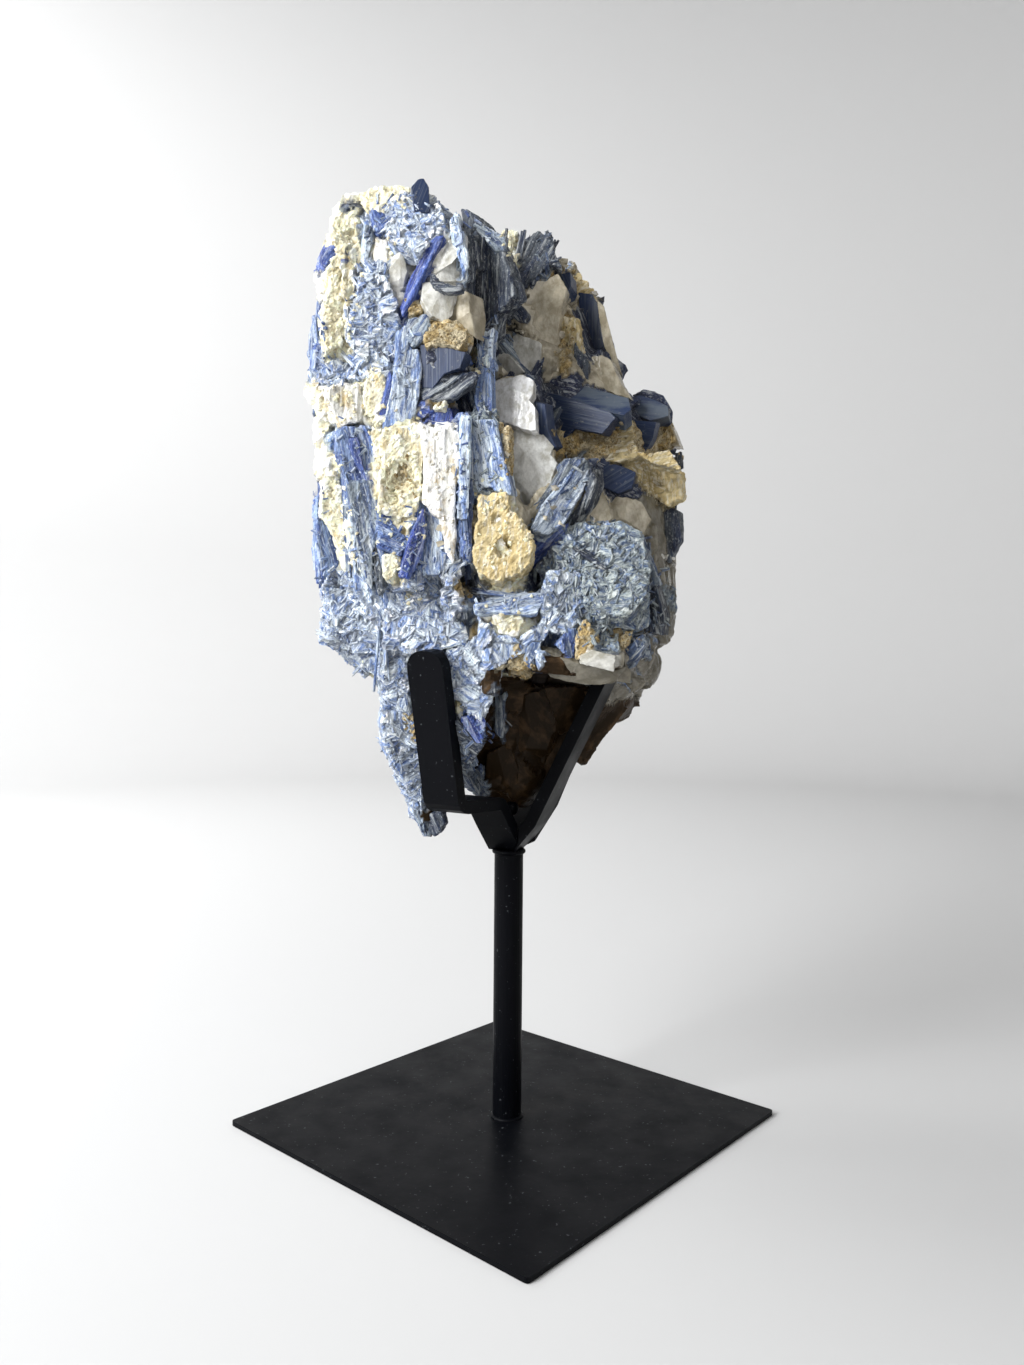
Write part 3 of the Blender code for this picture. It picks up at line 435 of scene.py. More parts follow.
# Piece that the rougher slabs of each mineral belong to
SLAB_PIECES = {KYANITE: "kyanite_crystals", FELDSPAR: "feldspar_lumps", CRUST: "ochre_crusts"}

# Camera and backdrop, in millimetres and in metres
SENSOR_HEIGHT = 36.0
FLOOR_RADIUS = 1.1
FLOOR_DROP = 0.2 * MM
COVE_RADIUS = 0.35
COVE_STEPS = 8
BACKDROP_HEIGHT = 1.2


def pixels_of(points):
    """Where points of the row frame lie in the view, in pixels."""
    away = points - np.array(EYE)
    depth = away @ np.array(AHEAD)
    return (IMAGE_WIDTH / 2 + FOCAL * (away @ np.array(RIGHT)) / depth,
            IMAGE_HEIGHT / 2 - FOCAL * (away @ np.array(UP)) / depth)


def ray_of(px, py):
    """Direction from the eye through a pixel of the view."""
    across = (px - IMAGE_WIDTH / 2) / FOCAL
    upward = (IMAGE_HEIGHT / 2 - py) / FOCAL
    return (AHEAD + RIGHT * across + UP * upward).normalized()


def pick(items):
    """Make these objects the only selected ones, and the first of them the active one."""
    bpy.ops.object.select_all(action="DESELECT")
    for item in items:
        item.select_set(True)
    bpy.context.view_layer.objects.active = items[0]


def edit(item):
    """Open an object in edit mode with all of it selected."""
    pick([item])
    bpy.ops.object.mode_set(mode="EDIT")
    bpy.ops.mesh.select_all(action="SELECT")


def done():
    """Leave edit mode."""
    bpy.ops.object.mode_set(mode="OBJECT")


def join(items, name):
    """Join objects into one piece of this name."""
    pick(items)
    bpy.ops.object.join()
    items[0].name = name
    return items[0]


def apply_modifier(item, kind, **values):
    """Add a modifier with these values and apply it."""
    pick([item])
    modifier = item.modifiers.new(kind.title(), kind)
    for key, value in values.items():
        setattr(modifier, key, value)
    bpy.ops.object.modifier_apply(modifier=modifier.name)


def points_of(mesh):
    flat = np.empty(len(mesh.vertices) * 3)
    mesh.vertices.foreach_get("co", flat)
    return flat.reshape(-1, 3)


def normals_of(mesh):
    flat = np.empty(len(mesh.vertices) * 3)
    mesh.vertex_normals.foreach_get("vector", flat)
    return flat.reshape(-1, 3)


def edges_of(mesh):
    flat = np.empty(len(mesh.edges) * 2, dtype=np.int64)
    mesh.edges.foreach_get("vertices", flat)
    return flat.reshape(-1, 2)


def eased(values, edges, passes):
    """Values at the vertices, averaged with their neighbours a number of times."""
    count = np.zeros(len(values))
    np.add.at(count, edges.ravel(), 1)
    for _ in range(passes):
        total = np.zeros_like(values)
        np.add.at(total, edges[:, 0], values[edges[:, 1]])
        np.add.at(total, edges[:, 1], values[edges[:, 0]])
        values = 0.5 * values + 0.5 * total / count[:, None]
    return values


def facing_of(mesh, edges, passes):
    """Outward directions at the vertices, averaged with their neighbours' a number of times."""
    facing = eased(normals_of(mesh), edges, passes)
    return facing / (np.linalg.norm(facing, axis=1)[:, None] + 1e-9)


def store(mesh, grain, pigment_and_shade):
    """Keep the fibre coordinates and the colours of the vertices, painted shade and highlight included where
    a surface has them, for the materials to read.
    """
    pigment_and_shade = np.clip(pigment_and_shade, DARKEST, LIGHTEST)
    for name, kind, field, values in (("grain", "FLOAT_VECTOR", "vector", grain),
                                      ("pigment_and_shade", "FLOAT_COLOR", "color", pigment_and_shade)):
        attribute = mesh.attributes.new(name, kind, "POINT")
        attribute.data.foreach_set(field, np.ascontiguousarray(values, dtype=np.float32).ravel())


class Tree:
    """Short way to add shader nodes and join them."""

    def __init__(self, name):
        self.material = bpy.data.materials.new(name)
        self.material.use_nodes = True
        self.nodes = self.material.node_tree.nodes
        self.links = self.material.node_tree.links
        self.shader = self.nodes["Principled BSDF"]

    def add(self, kind, inputs=None, **settings):
        node = self.nodes.new(kind)
        for key, value in settings.items():
            setattr(node, key, value)
        for key, value in (inputs or {}).items():
            if isinstance(value, bpy.types.NodeSocket):
                self.links.new(value, node.inputs[key])
            else:
                node.inputs[key].default_value = value
        return node

    def attribute(self, name, output="Vector"):
        return self.add("ShaderNodeAttribute", attribute_name=name).outputs[output]

    def stretched(self, across, along):
        """Fibre coordinates in millimetres, scaled across and along the fibres."""
        mapping = self.add("ShaderNodeMapping", {"Vector": self.attribute("grain"),
                                                 "Scale": (across, across, along)})
        return mapping.outputs["Vector"]

    def noise(self, vector, scale=1.0, detail=3.0, roughness=0.55):
        node = self.add("ShaderNodeTexNoise", {"Vector": vector, "Scale": scale, "Detail": detail,
                                               "Roughness": roughness})
        return node.outputs["Fac"]

    def spread(self, value, low, high, to_low=0.0, to_high=1.0):
        node = self.add("ShaderNodeMapRange", {"Value": value, "From Min": low, "From Max": high,
                                               "To Min": to_low, "To Max": to_high})
        return node.outputs["Result"]

    def mix(self, amount, first, second, blend="MIX"):
        node = self.nodes.new("ShaderNodeMix")
        node.data_type = "RGBA"
        node.blend_type = blend
        for socket, value in ((node.inputs[0], amount), (node.inputs[6], first), (node.inputs[7], second)):
            if isinstance(value, bpy.types.NodeSocket):
                self.links.new(value, socket)
            elif socket == node.inputs[0]:
                socket.default_value = value
            else:
                socket.default_value = (*value, 1.0)
        return node.outputs[2]

    def bump(self, height, strength, distance, normal=None):
        inputs = {"Height": height, "Strength": strength, "Distance": distance}
        if normal:
            inputs["Normal"] = normal
        return self.add("ShaderNodeBump", inputs).outputs["Normal"]

    def join(self, name, value):
        """Give an input of the shader another node's output or a plain value."""
        if isinstance(value, bpy.types.NodeSocket):
            self.links.new(value, self.shader.inputs[name])
        else:
            self.shader.inputs[name].default_value = value


def kyanite_material():
    """Bladed kyanite: fine fibres along the blade in pale, blue and dark strands, a pearly shine."""
    t = Tree("kyanite")
    fibres = t.noise(t.stretched(2.4, 0.13), detail=6.0, roughness=0.72)
    strands = t.noise(t.stretched(0.9, 0.06), detail=4.0, roughness=0.6)
    specks = t.noise(t.stretched(1.7, 0.8), detail=5.0, roughness=0.75)
    veins = t.noise(t.stretched(0.40, 0.10), detail=4.0, roughness=0.6)
    clouds = t.noise(t.stretched(0.23, 0.09), detail=6.0, roughness=0.7)
    colour = t.mix(t.spread(fibres, 0.55, 0.38, 0.0, 0.9), t.attribute("pigment_and_shade", "Color"),
                   (0.16, 0.22, 0.36), "MULTIPLY")
    colour = t.mix(t.spread(veins, 0.47, 0.56, 0.0, 0.92), colour, (0.21, 0.32, 0.62), "MULTIPLY")
    paler = t.mix(1.0, colour, (1.7, 1.6, 1.45), "MULTIPLY")
    colour = t.mix(t.spread(clouds, 0.50, 0.60, 0.0, 0.9), colour, paler)
    lighter = t.mix(0.5, t.attribute("pigment_and_shade", "Color"), (0.86, 0.88, 0.86))
    colour = t.mix(t.spread(strands, 0.54, 0.66, 0.0, 0.85), colour, lighter)
    colour = t.mix(t.spread(specks, 0.55, 0.66, 0.0, 0.85), colour, lighter)
    colour = t.mix(t.spread(specks, 0.45, 0.34, 0.0, 0.85), colour, (0.06, 0.08, 0.14), "MULTIPLY")
    t.join("Base Color", colour)
    t.join("Roughness", t.spread(specks, 0.3, 0.7, 0.32, 0.62))
    t.join("Normal", t.bump(fibres, 1.0, 0.4 * MM, t.bump(specks, 0.6, 0.5 * MM)))
    return t.material


def feldspar_material():
    """Chalky cream feldspar: granular, with paler cleavage flecks and ochre stains in patches."""
    t = Tree("feldspar")
    grains = t.noise(t.stretched(1.5, 1.1), detail=7.0, roughness=0.75)
    flecks = t.noise(t.stretched(1.1, 0.22), detail=4.0, roughness=0.6)
    stains = t.noise(t.stretched(0.20, 0.15), detail=5.0, roughness=0.65)
    colour = t.mix(t.spread(stains, 0.50, 0.66, 0.0, 0.8), t.attribute("pigment_and_shade", "Color"),
                   (0.52, 0.38, 0.15))
    lighter = t.mix(0.6, t.attribute("pigment_and_shade", "Color"), (0.94, 0.92, 0.84))
    colour = t.mix(t.spread(flecks, 0.50, 0.62, 0.0, 0.85), colour, lighter)
    colour = t.mix(t.spread(grains, 0.45, 0.32, 0.0, 0.75), colour, (0.30, 0.23, 0.13), "MULTIPLY")
    t.join("Base Color", colour)
    t.join("Roughness", 0.78)
    t.join("Normal", t.bump(grains, 1.0, 0.7 * MM))
    return t.material


def quartz_material():
    """Greyish quartz: half clear, with veils and a wet-looking broken surface."""
    t = Tree("quartz")
    veils = t.noise(t.stretched(0.30, 0.20), detail=6.0, roughness=0.65)
    chips = t.noise(t.stretched(0.6, 0.5), detail=3.0)
    pigment_and_shade = t.attribute("pigment_and_shade", "Color")
    colour = t.mix(t.spread(veils, 0.40, 0.52), t.mix(1.0, pigment_and_shade, (0.68, 0.66, 0.60), "MULTIPLY"), pigment_and_shade)
    colour = t.mix(t.spread(veils, 0.52, 0.66), colour, t.mix(1.0, pigment_and_shade, (1.35, 1.35, 1.35), "MULTIPLY"))
    t.join("Base Color", colour)
    t.join("Roughness", 0.14)
    t.join("IOR", 1.54)
    t.join("Transmission Weight", 0.30)
    t.join("Normal", t.bump(chips, 0.5, 0.7 * MM))
    return t.material


def crust_material():
    """Ochre and brown iron crust: matt and crumbly."""
    t = Tree("ochre_crust")
    crumbs = t.noise(t.stretched(1.8, 1.5), detail=6.0, roughness=0.75)
    tone = t.noise(t.stretched(0.35, 0.3), detail=4.0, roughness=0.6)
    colour = t.mix(t.spread(tone, 0.44, 0.58, 0.0, 0.8), t.attribute("pigment_and_shade", "Color"),
                   (0.68, 0.60, 0.42))
    colour = t.mix(t.spread(crumbs, 0.52, 0.38, 0.0, 0.85), colour, (0.10, 0.07, 0.04), "MULTIPLY")
    t.join("Base Color", colour)
    t.join("Roughness", 0.75)
    t.join("Normal", t.bump(crumbs, 1.0, 0.7 * MM))
    return t.material


def shaded_smoky_quartz_material():
    """Dark brown smoky quartz of the hollow side, its colour darkened to paint the shade of the hollow: flat
    panels with a dull shine.
    """
    t = Tree("shaded_smoky_quartz")
    veils = t.noise(t.stretched(0.25, 0.15), detail=5.0, roughness=0.6)
    lighter = t.mix(1.0, t.attribute("pigment_and_shade", "Color"), (3.2, 3.2, 3.4), "MULTIPLY")
    t.join("Base Color", t.mix(t.spread(veils, 0.50, 0.66), t.attribute("pigment_and_shade", "Color"), lighter))
    t.join("Roughness", 0.34)
    t.join("Specular IOR Level", 0.10)
    t.join("Normal", t.bump(veils, 0.5, 0.8 * MM))
    return t.material


def prism_material():
    """Single kyanite crystals: deep blue, glassy and flat, with faint lines along their length."""
    t = Tree("kyanite_prism")
    lines = t.noise(t.stretched(2.2, 0.05), detail=3.0, roughness=0.6)
    zones = t.noise(t.stretched(0.22, 0.08), detail=4.0, roughness=0.6)
    flaws = t.noise(t.stretched(0.7, 0.5), detail=5.0, roughness=0.7)
    colour = t.mix(t.spread(zones, 0.44, 0.60), t.attribute("pigment_and_shade", "Color"), (0.022, 0.036, 0.085))
    colour = t.mix(t.spread(lines, 0.50, 0.64, 0.0, 0.5), colour, (0.11, 0.13, 0.16))
    colour = t.mix(t.spread(flaws, 0.60, 0.70, 0.0, 0.5), colour, (0.30, 0.29, 0.25))
    t.join("Base Color", colour)
    t.join("Roughness", 0.36)
    t.join("Specular IOR Level", 0.3)
    t.join("Normal", t.bump(lines, 0.5, 0.2 * MM))
    return t.material


def paint_material():
    """Black satin paint on steel, with faint dust and a slight orange peel."""
    t = Tree("black_paint")
    place = t.add("ShaderNodeTexCoord").outputs["Object"]
    dust = t.noise(place, 900.0, 2.0, 0.5)
    scuffs = t.noise(place, 60.0, 4.0, 0.6)
    colour = t.mix(t.spread(dust, 0.69, 0.74, 0.0, 0.35), (0.0016, 0.0019, 0.0030),
                   (0.14, 0.15, 0.16))
    t.join("Base Color", colour)
    t.join("Roughness", t.spread(scuffs, 0.35, 0.7, 0.34, 0.52))
    t.join("Normal", t.bump(t.noise(place, 420.0, 2.0), 0.12, 0.2 * MM))
    t.join("Specular IOR Level", 0.06)
    return t.material


def fibre_axes(along):
    """Two axes across a fibre direction."""
    helper = Vector((0, 1, 0)) if abs(along.y) < 0.8 else Vector((1, 0, 0))
    side = along.cross(helper).normalized()
    return side, side.cross(along)


def texture_place(rng):
    """Where in the endless texture a piece is taken from, in millimetres."""
    return [rng.uniform(0, TEXTURE_SPAN) for _ in range(3)]


def fibres_at(local, crumple):
    """Fibre coordinates, bent a little or broken into clumps that each lie their own way."""
    if crumple < CLUMPED:
        return local + noise.noise_vector(local / 9) * crumple
    local = local + noise.noise_vector(local / 6) * 0.6
    clump = noise.voronoi(local / (1.2 * crumple))[1][0]
    return Matrix.Rotation(2.4 * noise.cell(clump * 5.7), 3, "Y") @ local


def relief_at(local, kind):
    """Height in millimetres and shade of the broken surface, from fibre coordinates in millimetres. The shade
    follows the relief: a painted highlight where the surface stands higher, painted shade in its pits.
    """
    mineral = GROUND[kind][1]
    if mineral == KYANITE or kind == "white":
        centre = noise.voronoi(Vector((local.x / 3.4, local.y / 3.4, local.z / 22)))[1][0]
        lath = noise.cell(centre * 7.3)
        centre = noise.voronoi(Vector((local.x / 1.2, local.y / 1.2, local.z / 9)))[1][0]
        splint = noise.cell(centre * 5.1)
        # Painted highlight: a lath that stands higher is also made lighter.
        return lath * 0.8 + splint * 0.4, 1 + 0.22 * lath + 0.15 * splint
    if mineral in (QUARTZ, SHADED_SMOKY_QUARTZ):
        centre = noise.voronoi(local / 8)[1][0]
        step = noise.cell(centre * 3.7)
        # Painted highlight: a step that stands higher is also made lighter.
        return step * 0.8, 1 + 0.08 * step
    distances, centres = noise.voronoi(Vector((local.x / 2.3, local.y / 2.3, local.z / 3.4)))
    chip = noise.cell(centres[0] * 6.1)
    rough = noise.fractal(local / 1.9, 0.6, 2.1, 4)
    pit = max(0.0, noise.noise(local / 2.7 + Vector((7, 3, 9))) - 0.32)
    # Painted shade and highlight: a pit is darkened as well as sunk, and a chip or rough bit that stands
    # higher is made lighter.
    return 0.5 * chip + 0.7 * rough - 1.2 * pit, 1 + 0.10 * chip + 0.10 * rough - 0.9 * pit


def broken_at(point, kind, axes, shift):
    """Fibre coordinates, height and shade of the broken surface at a point."""
    place = Vector(point) / MM
    local = fibres_at(Vector([place.dot(axis) for axis in axes]) + shift, GROUND[kind][3])
    return local, *relief_at(local, kind)


def dress_with_painted_shade(mesh, points, edges, outward, grain, pigment_and_shade, reach):
    """Move a surface to its points, paint shade into its hollows and a highlight onto its ridges, and keep
    its texture.
    """
    hollow = ((eased(points, edges, 10) - points) * outward).sum(axis=1) / reach
    # Painted shade and highlight: the colour is darkened where the surface sinks below its neighbours and
    # lightened where it stands out.
    pigment_and_shade[:, :3] *= np.clip(1.0 - 0.55 * hollow, 0.25, 1.25)[:, None]
    mesh.vertices.foreach_set("co", points.ravel())
    store(mesh, grain, pigment_and_shade)


def fine_rock():
    """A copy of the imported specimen's own shape, made of fine facets."""
    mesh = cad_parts["kyanite_specimen"].data.copy()
    rock = bpy.data.objects.new("ground_rock", mesh)
    bpy.context.scene.collection.objects.link(rock)
    edit(rock)
    bpy.ops.mesh.remove_doubles(threshold=0.01 * MM)
    done()
    mesh.materials.clear()
    apply_modifier(rock, "REMESH", mode="VOXEL", voxel_size=VOXEL)
    return rock


def streaks_at(px, py):
    """Which streak of ground each pixel belongs to."""
    best = np.full(len(px), np.inf)
    owner = np.zeros(len(px), dtype=int)
    for index, (_, x0, y0, x1, y1, half) in enumerate(STREAKS):
        dx, dy = x1 - x0, y1 - y0
        t = np.clip(((px - x0) * dx + (py - y0) * dy) / (dx * dx + dy * dy), 0, 1)
        distance = np.hypot(px - x0 - t * dx, py - y0 - t * dy) / half
        nearer = distance < best
        best[nearer] = distance[nearer]
        owner[nearer] = index
    return owner


def out_of_view(rock, points, outward):
    """Which points of the rock are hidden from the viewer by the rock itself."""
    tree = BVHTree.FromObject(rock, bpy.context.evaluated_depsgraph_get())
    hidden = np.zeros(len(points), dtype=bool)
    for index, point in enumerate(points):
        start = Vector(point) + Vector(outward[index]) * 1.5 * MM
        toward = EYE - start
        hidden[index] = tree.ray_cast(start, toward.normalized(), toward.length)[0] is not None
    return hidden


def spread_cells(owner, hidden, spots, centres, rng):
    """Give each hidden point to the nearest of the patches of the far sides."""
    best = np.full(len(owner), np.inf)
    for index, centre in enumerate(centres):
        distance = np.linalg.norm((spots - centre) * FAR_NARROWING, axis=1) * rng.uniform(0.8, 1.3)
        nearer = hidden & (distance < best)
        best[nearer] = distance[nearer]
        owner[nearer] = len(STREAKS) + index


def patch_axes(rng):
    """Axes of the fibres, across, through and along, of each streak in view and each hidden patch."""
    lines = [(RIGHT * (x1 - x0) - UP * (y1 - y0)).normalized() for _, x0, y0, x1, y1, _ in STREAKS]
    lines += [Vector((rng.gauss(0, 0.35), rng.gauss(0, 0.35), 1)).normalized() for _ in range(FAR_CELLS)]
    return [(*fibre_axes(along), along) for along in lines]


def ground_rock():
    """The rock roughened along its fibres, and places on its hidden sides for more crystals."""
    rng = random.Random(3)
    rock = fine_rock()
    mesh = rock.data
    points = points_of(mesh)
    edges = edges_of(mesh)
    outward = facing_of(mesh, edges, 3)
    wobble = np.array([noise.noise_vector(Vector(point) * 260) for point in points])
    fine = np.array([noise.noise_vector(Vector(point) * 900) for point in points])
    px, py = pixels_of(points)
    owner = streaks_at(px + 6 * wobble[:, 0] + 3 * fine[:, 0], py + 9 * wobble[:, 1] + 4 * fine[:, 1])
    hidden = out_of_view(rock, points, outward)
    cells = rng.sample(range(len(points)), FAR_CELLS)
    names = [name for name, share in FAR_KINDS for _ in range(share)]
    kinds = [row[0] for row in STREAKS] + [rng.choice(names) for _ in cells]
    spread_cells(owner, hidden, points + 6 * MM * wobble + 2 * MM * fine, points[cells], rng)
    axes = patch_axes(rng)
    shifts = [Vector(texture_place(rng)) for _ in kinds]
    steps = [rng.uniform(-0.8, 0.7) for _ in kinds]
    shades = [rng.uniform(0.8, 1.15) for _ in kinds]
    grain = np.zeros_like(points)
    relief = np.zeros(len(points))
    pigment_and_shade = np.ones((len(points), 4))
    for index, point in enumerate(points):
        patch = owner[index]
        tint, _, strength, _ = GROUND[kinds[patch]]
        grain[index], height, shade = broken_at(point, kinds[patch], axes[patch], shifts[patch])
        relief[index] = height * strength + steps[patch]
        pigment_and_shade[index, :3] = np.array(TINTS[tint]) * shade * shades[patch]
    points = points + outward * relief[:, None] * MM
    dress_with_painted_shade(mesh, points, edges, outward, grain, pigment_and_shade, 0.9 * MM)
    for material in MATERIALS:
        mesh.materials.append(material)
    for face in mesh.polygons:
        face.material_index = GROUND[kinds[owner[face.vertices[0]]]][1]
    mesh.shade_flat()
    mesh.update()
    unseen = [index for index in range(len(points)) if hidden[index] and outward[index][2] > FAR_UNDERSIDE]
    samples = [(points[index], outward[index], axes[owner[index]][2], kinds[owner[index]])
               for index in rng.sample(unseen, FAR_CRYSTALS)]
    return rock, samples


# Crystals are modelled once, one unit long, wide and thick, and then copied to their places


def new_cube(name):
    """Cube of one unit, to be cut into a crystal."""
    bpy.ops.object.select_all(action="DESELECT")
    bpy.ops.mesh.primitive_cube_add(size=1)
    item = bpy.context.object
    item.name = name
    return item


def cut(places, axis):
    """Cut the mesh that is being edited across an axis at these places."""
    normal = [0.0, 0.0, 0.0]
    normal[axis] = 1.0
    for place in places:
        bpy.ops.mesh.select_all(action="SELECT")
        bpy.ops.mesh.bisect(plane_co=[place * part for part in normal], plane_no=normal)


def blade_model(name, seed, strips, lengths):
    """Flat blade along Z with steps and grooves along it and both ends broken across the fibres."""
    rng = random.Random(seed)
    item = new_cube(name)
    seams = sorted(rng.uniform(-0.42, 0.42) for _ in range(strips - 1))
    edit(item)
    cut([seam + shift for seam in seams for shift in (-0.015, 0.015)], 0)
    cut([(index + 1) / lengths - 0.5 for index in range(lengths - 1)], 2)
    done()
    levels = [rng.uniform(0.55, 1.0) for _ in range(strips)]
    backs = [rng.uniform(0.6, 1.0) for _ in range(strips)]
    breaks = [(rng.uniform(-0.16, 0.02), rng.uniform(-0.02, 0.14)) for _ in range(strips)]
    bend = rng.uniform(-0.25, 0.25)
    narrow = rng.uniform(0.55, 0.95)
    for vert in item.data.vertices:
        strip = sum(vert.co.x > seam for seam in seams)
        if abs(vert.co.z) > 0.49:
            vert.co.z += breaks[strip][0] if vert.co.z > 0 else breaks[strip][1]
        vert.co.y *= levels[strip] if vert.co.y > 0 else backs[strip]
        if abs(vert.co.x) > 0.49:
            vert.co.y *= 0.7
        vert.co.x *= 1 + (narrow - 1) * (vert.co.z + 0.5)
        vert.co.y += bend * (0.25 - vert.co.z ** 2) + rng.uniform(-0.03, 0.03)
    return item


def block_model(name, seed):
    """Blocky crystal: a cube with corners and edges broken off by flat cuts, its edges chipped."""
    rng = random.Random(seed)
    item = new_cube(name)
    edit(item)
    for _ in range(7):
        away = Vector((rng.uniform(-1, 1), rng.uniform(-1, 1), rng.uniform(-1, 1))).normalized()
        away += Vector((rng.choice((-0.7, 0.7)), rng.choice((-0.7, 0.7)), 0))
        away.normalize()
        bpy.ops.mesh.select_all(action="SELECT")
        bpy.ops.mesh.bisect(plane_co=away * rng.uniform(0.46, 0.6), plane_no=away, use_fill=True,
                            clear_outer=True)
    done()
    apply_modifier(item, "BEVEL", width=0.025, segments=1)
    return item


def crumb_model(name, seed):
    """Small broken crumb."""
    rng = random.Random(seed)
    bpy.ops.object.select_all(action="DESELECT")
    bpy.ops.mesh.primitive_ico_sphere_add(subdivisions=2, radius=0.5)
    item = bpy.context.object
    item.name = name
    shift = Vector((rng.uniform(0, 50), rng.uniform(0, 50), 0))
    for vert in item.data.vertices:
        vert.co *= 1 + 0.5 * noise.noise(vert.co * 2.6 + shift) + rng.uniform(-0.06, 0.06)
    return item


def grow(model, piece, kind, centre, axes, size, shade, rng):
    """Copy a model to its place: centre in metres, axes across, out of the rock and along, size in mm."""
    tint, mineral, _, _ = GROUND[kind]
    mesh = rng.choice(MODELS[model]).data.copy()
    local = points_of(mesh)
    spread = local * np.array(size)
    placed = np.array(centre) + (spread * MM) @ np.array(axes)
    mesh.vertices.foreach_set("co", placed.ravel())
    pigment_and_shade = np.ones((len(local), 4))
    fade = shade * (1 + rng.uniform(-0.2, 0.25) * local[:, 2])
    pigment_and_shade[:, :3] = np.array(TINTS[tint]) * fade[:, None]
    if mineral == KYANITE:
        lighter = np.clip(np.abs(local[:, 0]) * 2 - 0.6, 0, 1)[:, None] * rng.uniform(0, 0.45)
        pigment_and_shade[:, :3] = pigment_and_shade[:, :3] * (1 - lighter) + np.array(EDGE_TINT) * lighter
    store(mesh, spread + np.array(texture_place(rng)), pigment_and_shade)
    mesh.materials.append(MATERIALS[mineral])
    item = bpy.data.objects.new(piece, mesh)
    bpy.context.scene.collection.objects.link(item)
    GROWN.setdefault(piece, []).append(item)


def gather(piece):
    """Join the copies of one piece and let it ride on the stand's body."""
    item = join(GROWN.pop(piece), piece)
    item.data.shade_flat()
    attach(item, "root")


def lie(x0, y0, x1, y1):
    """A line on the rock between two pixels: start, end and the outward direction there."""
    hits = []
    for index in range(BLADE_SAMPLES):
        t = index / (BLADE_SAMPLES - 1)
        place, normal, _, _ = SURFACE.ray_cast(EYE, ray_of(x0 + (x1 - x0) * t, y0 + (y1 - y0) * t))
        if place and place.y < BLADE_BACK:
            hits.append((t, (place - EYE).dot(AHEAD), normal))
    if len(hits) < BLADE_SAMPLES - 1:
        return None
    places = np.array([hit[0] for hit in hits])
    depths = np.array([hit[1] for hit in hits])
    middle = np.median(depths)
    depths = np.clip(depths, middle - BLADE_SLACK, middle + BLADE_SLACK)
    slope, base = np.polyfit(places, depths, 1)
    ends = []
    for t, px, py in ((0, x0, y0), (1, x1, y1)):
        ray = ray_of(px, py)
        ends.append(EYE + ray * ((base + slope * t) / ray.dot(AHEAD)))
    outward = Vector()
    for _, _, normal in hits:
        outward += normal
    outward = outward.normalized() - AHEAD * 0.5
    return ends[0], ends[1], outward.normalized()


def lay_blade(model, piece, kind, ends, width, thickness, turn, lift, shade, rng):
    """Lay one blade on the rock between two pixels, with its width in pixels, the rest in millimetres."""
    line = lie(*ends)
    if not line:
        return
    start, end, outward = line
    along = (end - start).normalized()
    across = along.cross(outward).normalized()
    out = across.cross(along)
    spin = Matrix.Rotation(math.radians(turn), 3, along)
    across, out = spin @ across, spin @ out
    middle = (start + end) / 2
    scale = (middle - EYE).dot(AHEAD) / FOCAL / MM
    centre = middle + out * (lift - thickness * 0.25) * MM
    size = (width * scale, thickness, (end - start).length / MM)
    grow(model, piece, kind, centre, (across, out, along), size, shade, rng)


def cover_streaks():
    """Blades and splinters that make up each streak of kyanite in view."""
    rng = random.Random(8)
    for kind, x0, y0, x1, y1, half in STREAKS:
        _, mineral, _, crumple = GROUND[kind]
        if kind in CRISP or mineral != KYANITE:
            continue
        length = math.hypot(x1 - x0, y1 - y0)
        dx, dy = (x1 - x0) / length, (y1 - y0) / length
        area = (length + half) * half
        if crumple < CLUMPED:
            rows = [(rng.uniform(0.4, 1.0) * length + 4, rng.uniform(3, max(4, half * 0.7)), 0.05, "blade")
                    for _ in range(max(2, int(area / 120)))]
            rows += [(rng.uniform(6, 16), rng.uniform(0.8, 2.4), 0.16, "splinter")
                     for _ in range(int(area / 50))]
        else:
            rows = [(rng.uniform(4, 12), rng.uniform(1.5, 4.5), 0.5, "splinter")
                    for _ in range(int(area / 26))]
            rows += [(rng.uniform(9, 20), rng.uniform(3, 7), 0.6, "blade") for _ in range(int(area / 170))]
        for span, width, loose, model in rows:
            middle = rng.uniform(span / 2, length - span / 2) if length > span else length / 2
            if crumple > CLUMPED:
                middle = rng.uniform(-half * 0.4, length + half * 0.4)
            off = rng.uniform(-0.9, 0.9) * half
            skew = rng.gauss(0, loose) * span
            cx, cy = x0 + dx * middle - dy * off, y0 + dy * middle + dx * off
            ends = (cx - dx * span / 2 - dy * skew, cy - dy * span / 2 + dx * skew,
                    cx + dx * span / 2 + dy * skew, cy + dy * span / 2 - dx * skew)
            lay_blade(model, "kyanite_blades", kind, ends, width, rng.uniform(0.4, 1.2), rng.gauss(0, 16),
                      rng.uniform(-0.2, 0.3), rng.uniform(0.55, 1.35), rng)


def ragged(outline, lean, amount, rng):
    """Outline with more corners, broken raggedly where it runs across the fibres."""
    fibre = Vector((math.sin(math.radians(lean)), -math.cos(math.radians(lean))))
    across = Vector((-fibre.y, fibre.x))
    result = []
    for index, corner in enumerate(outline):
        start, end = Vector(corner), Vector(outline[(index + 1) % len(outline)])
        edge = end - start
        parts = max(1, int(edge.length / RAGGED_STEP))
        crossing = abs(edge.normalized().dot(across))
        for part in range(parts):
            point = start + edge * part / parts
            jag = fibre * rng.uniform(-1, 1) * (0.3 + 1.5 * crossing)
            point += (jag + across * rng.uniform(-0.35, 0.35)) * amount
            result.append(point)
    return result


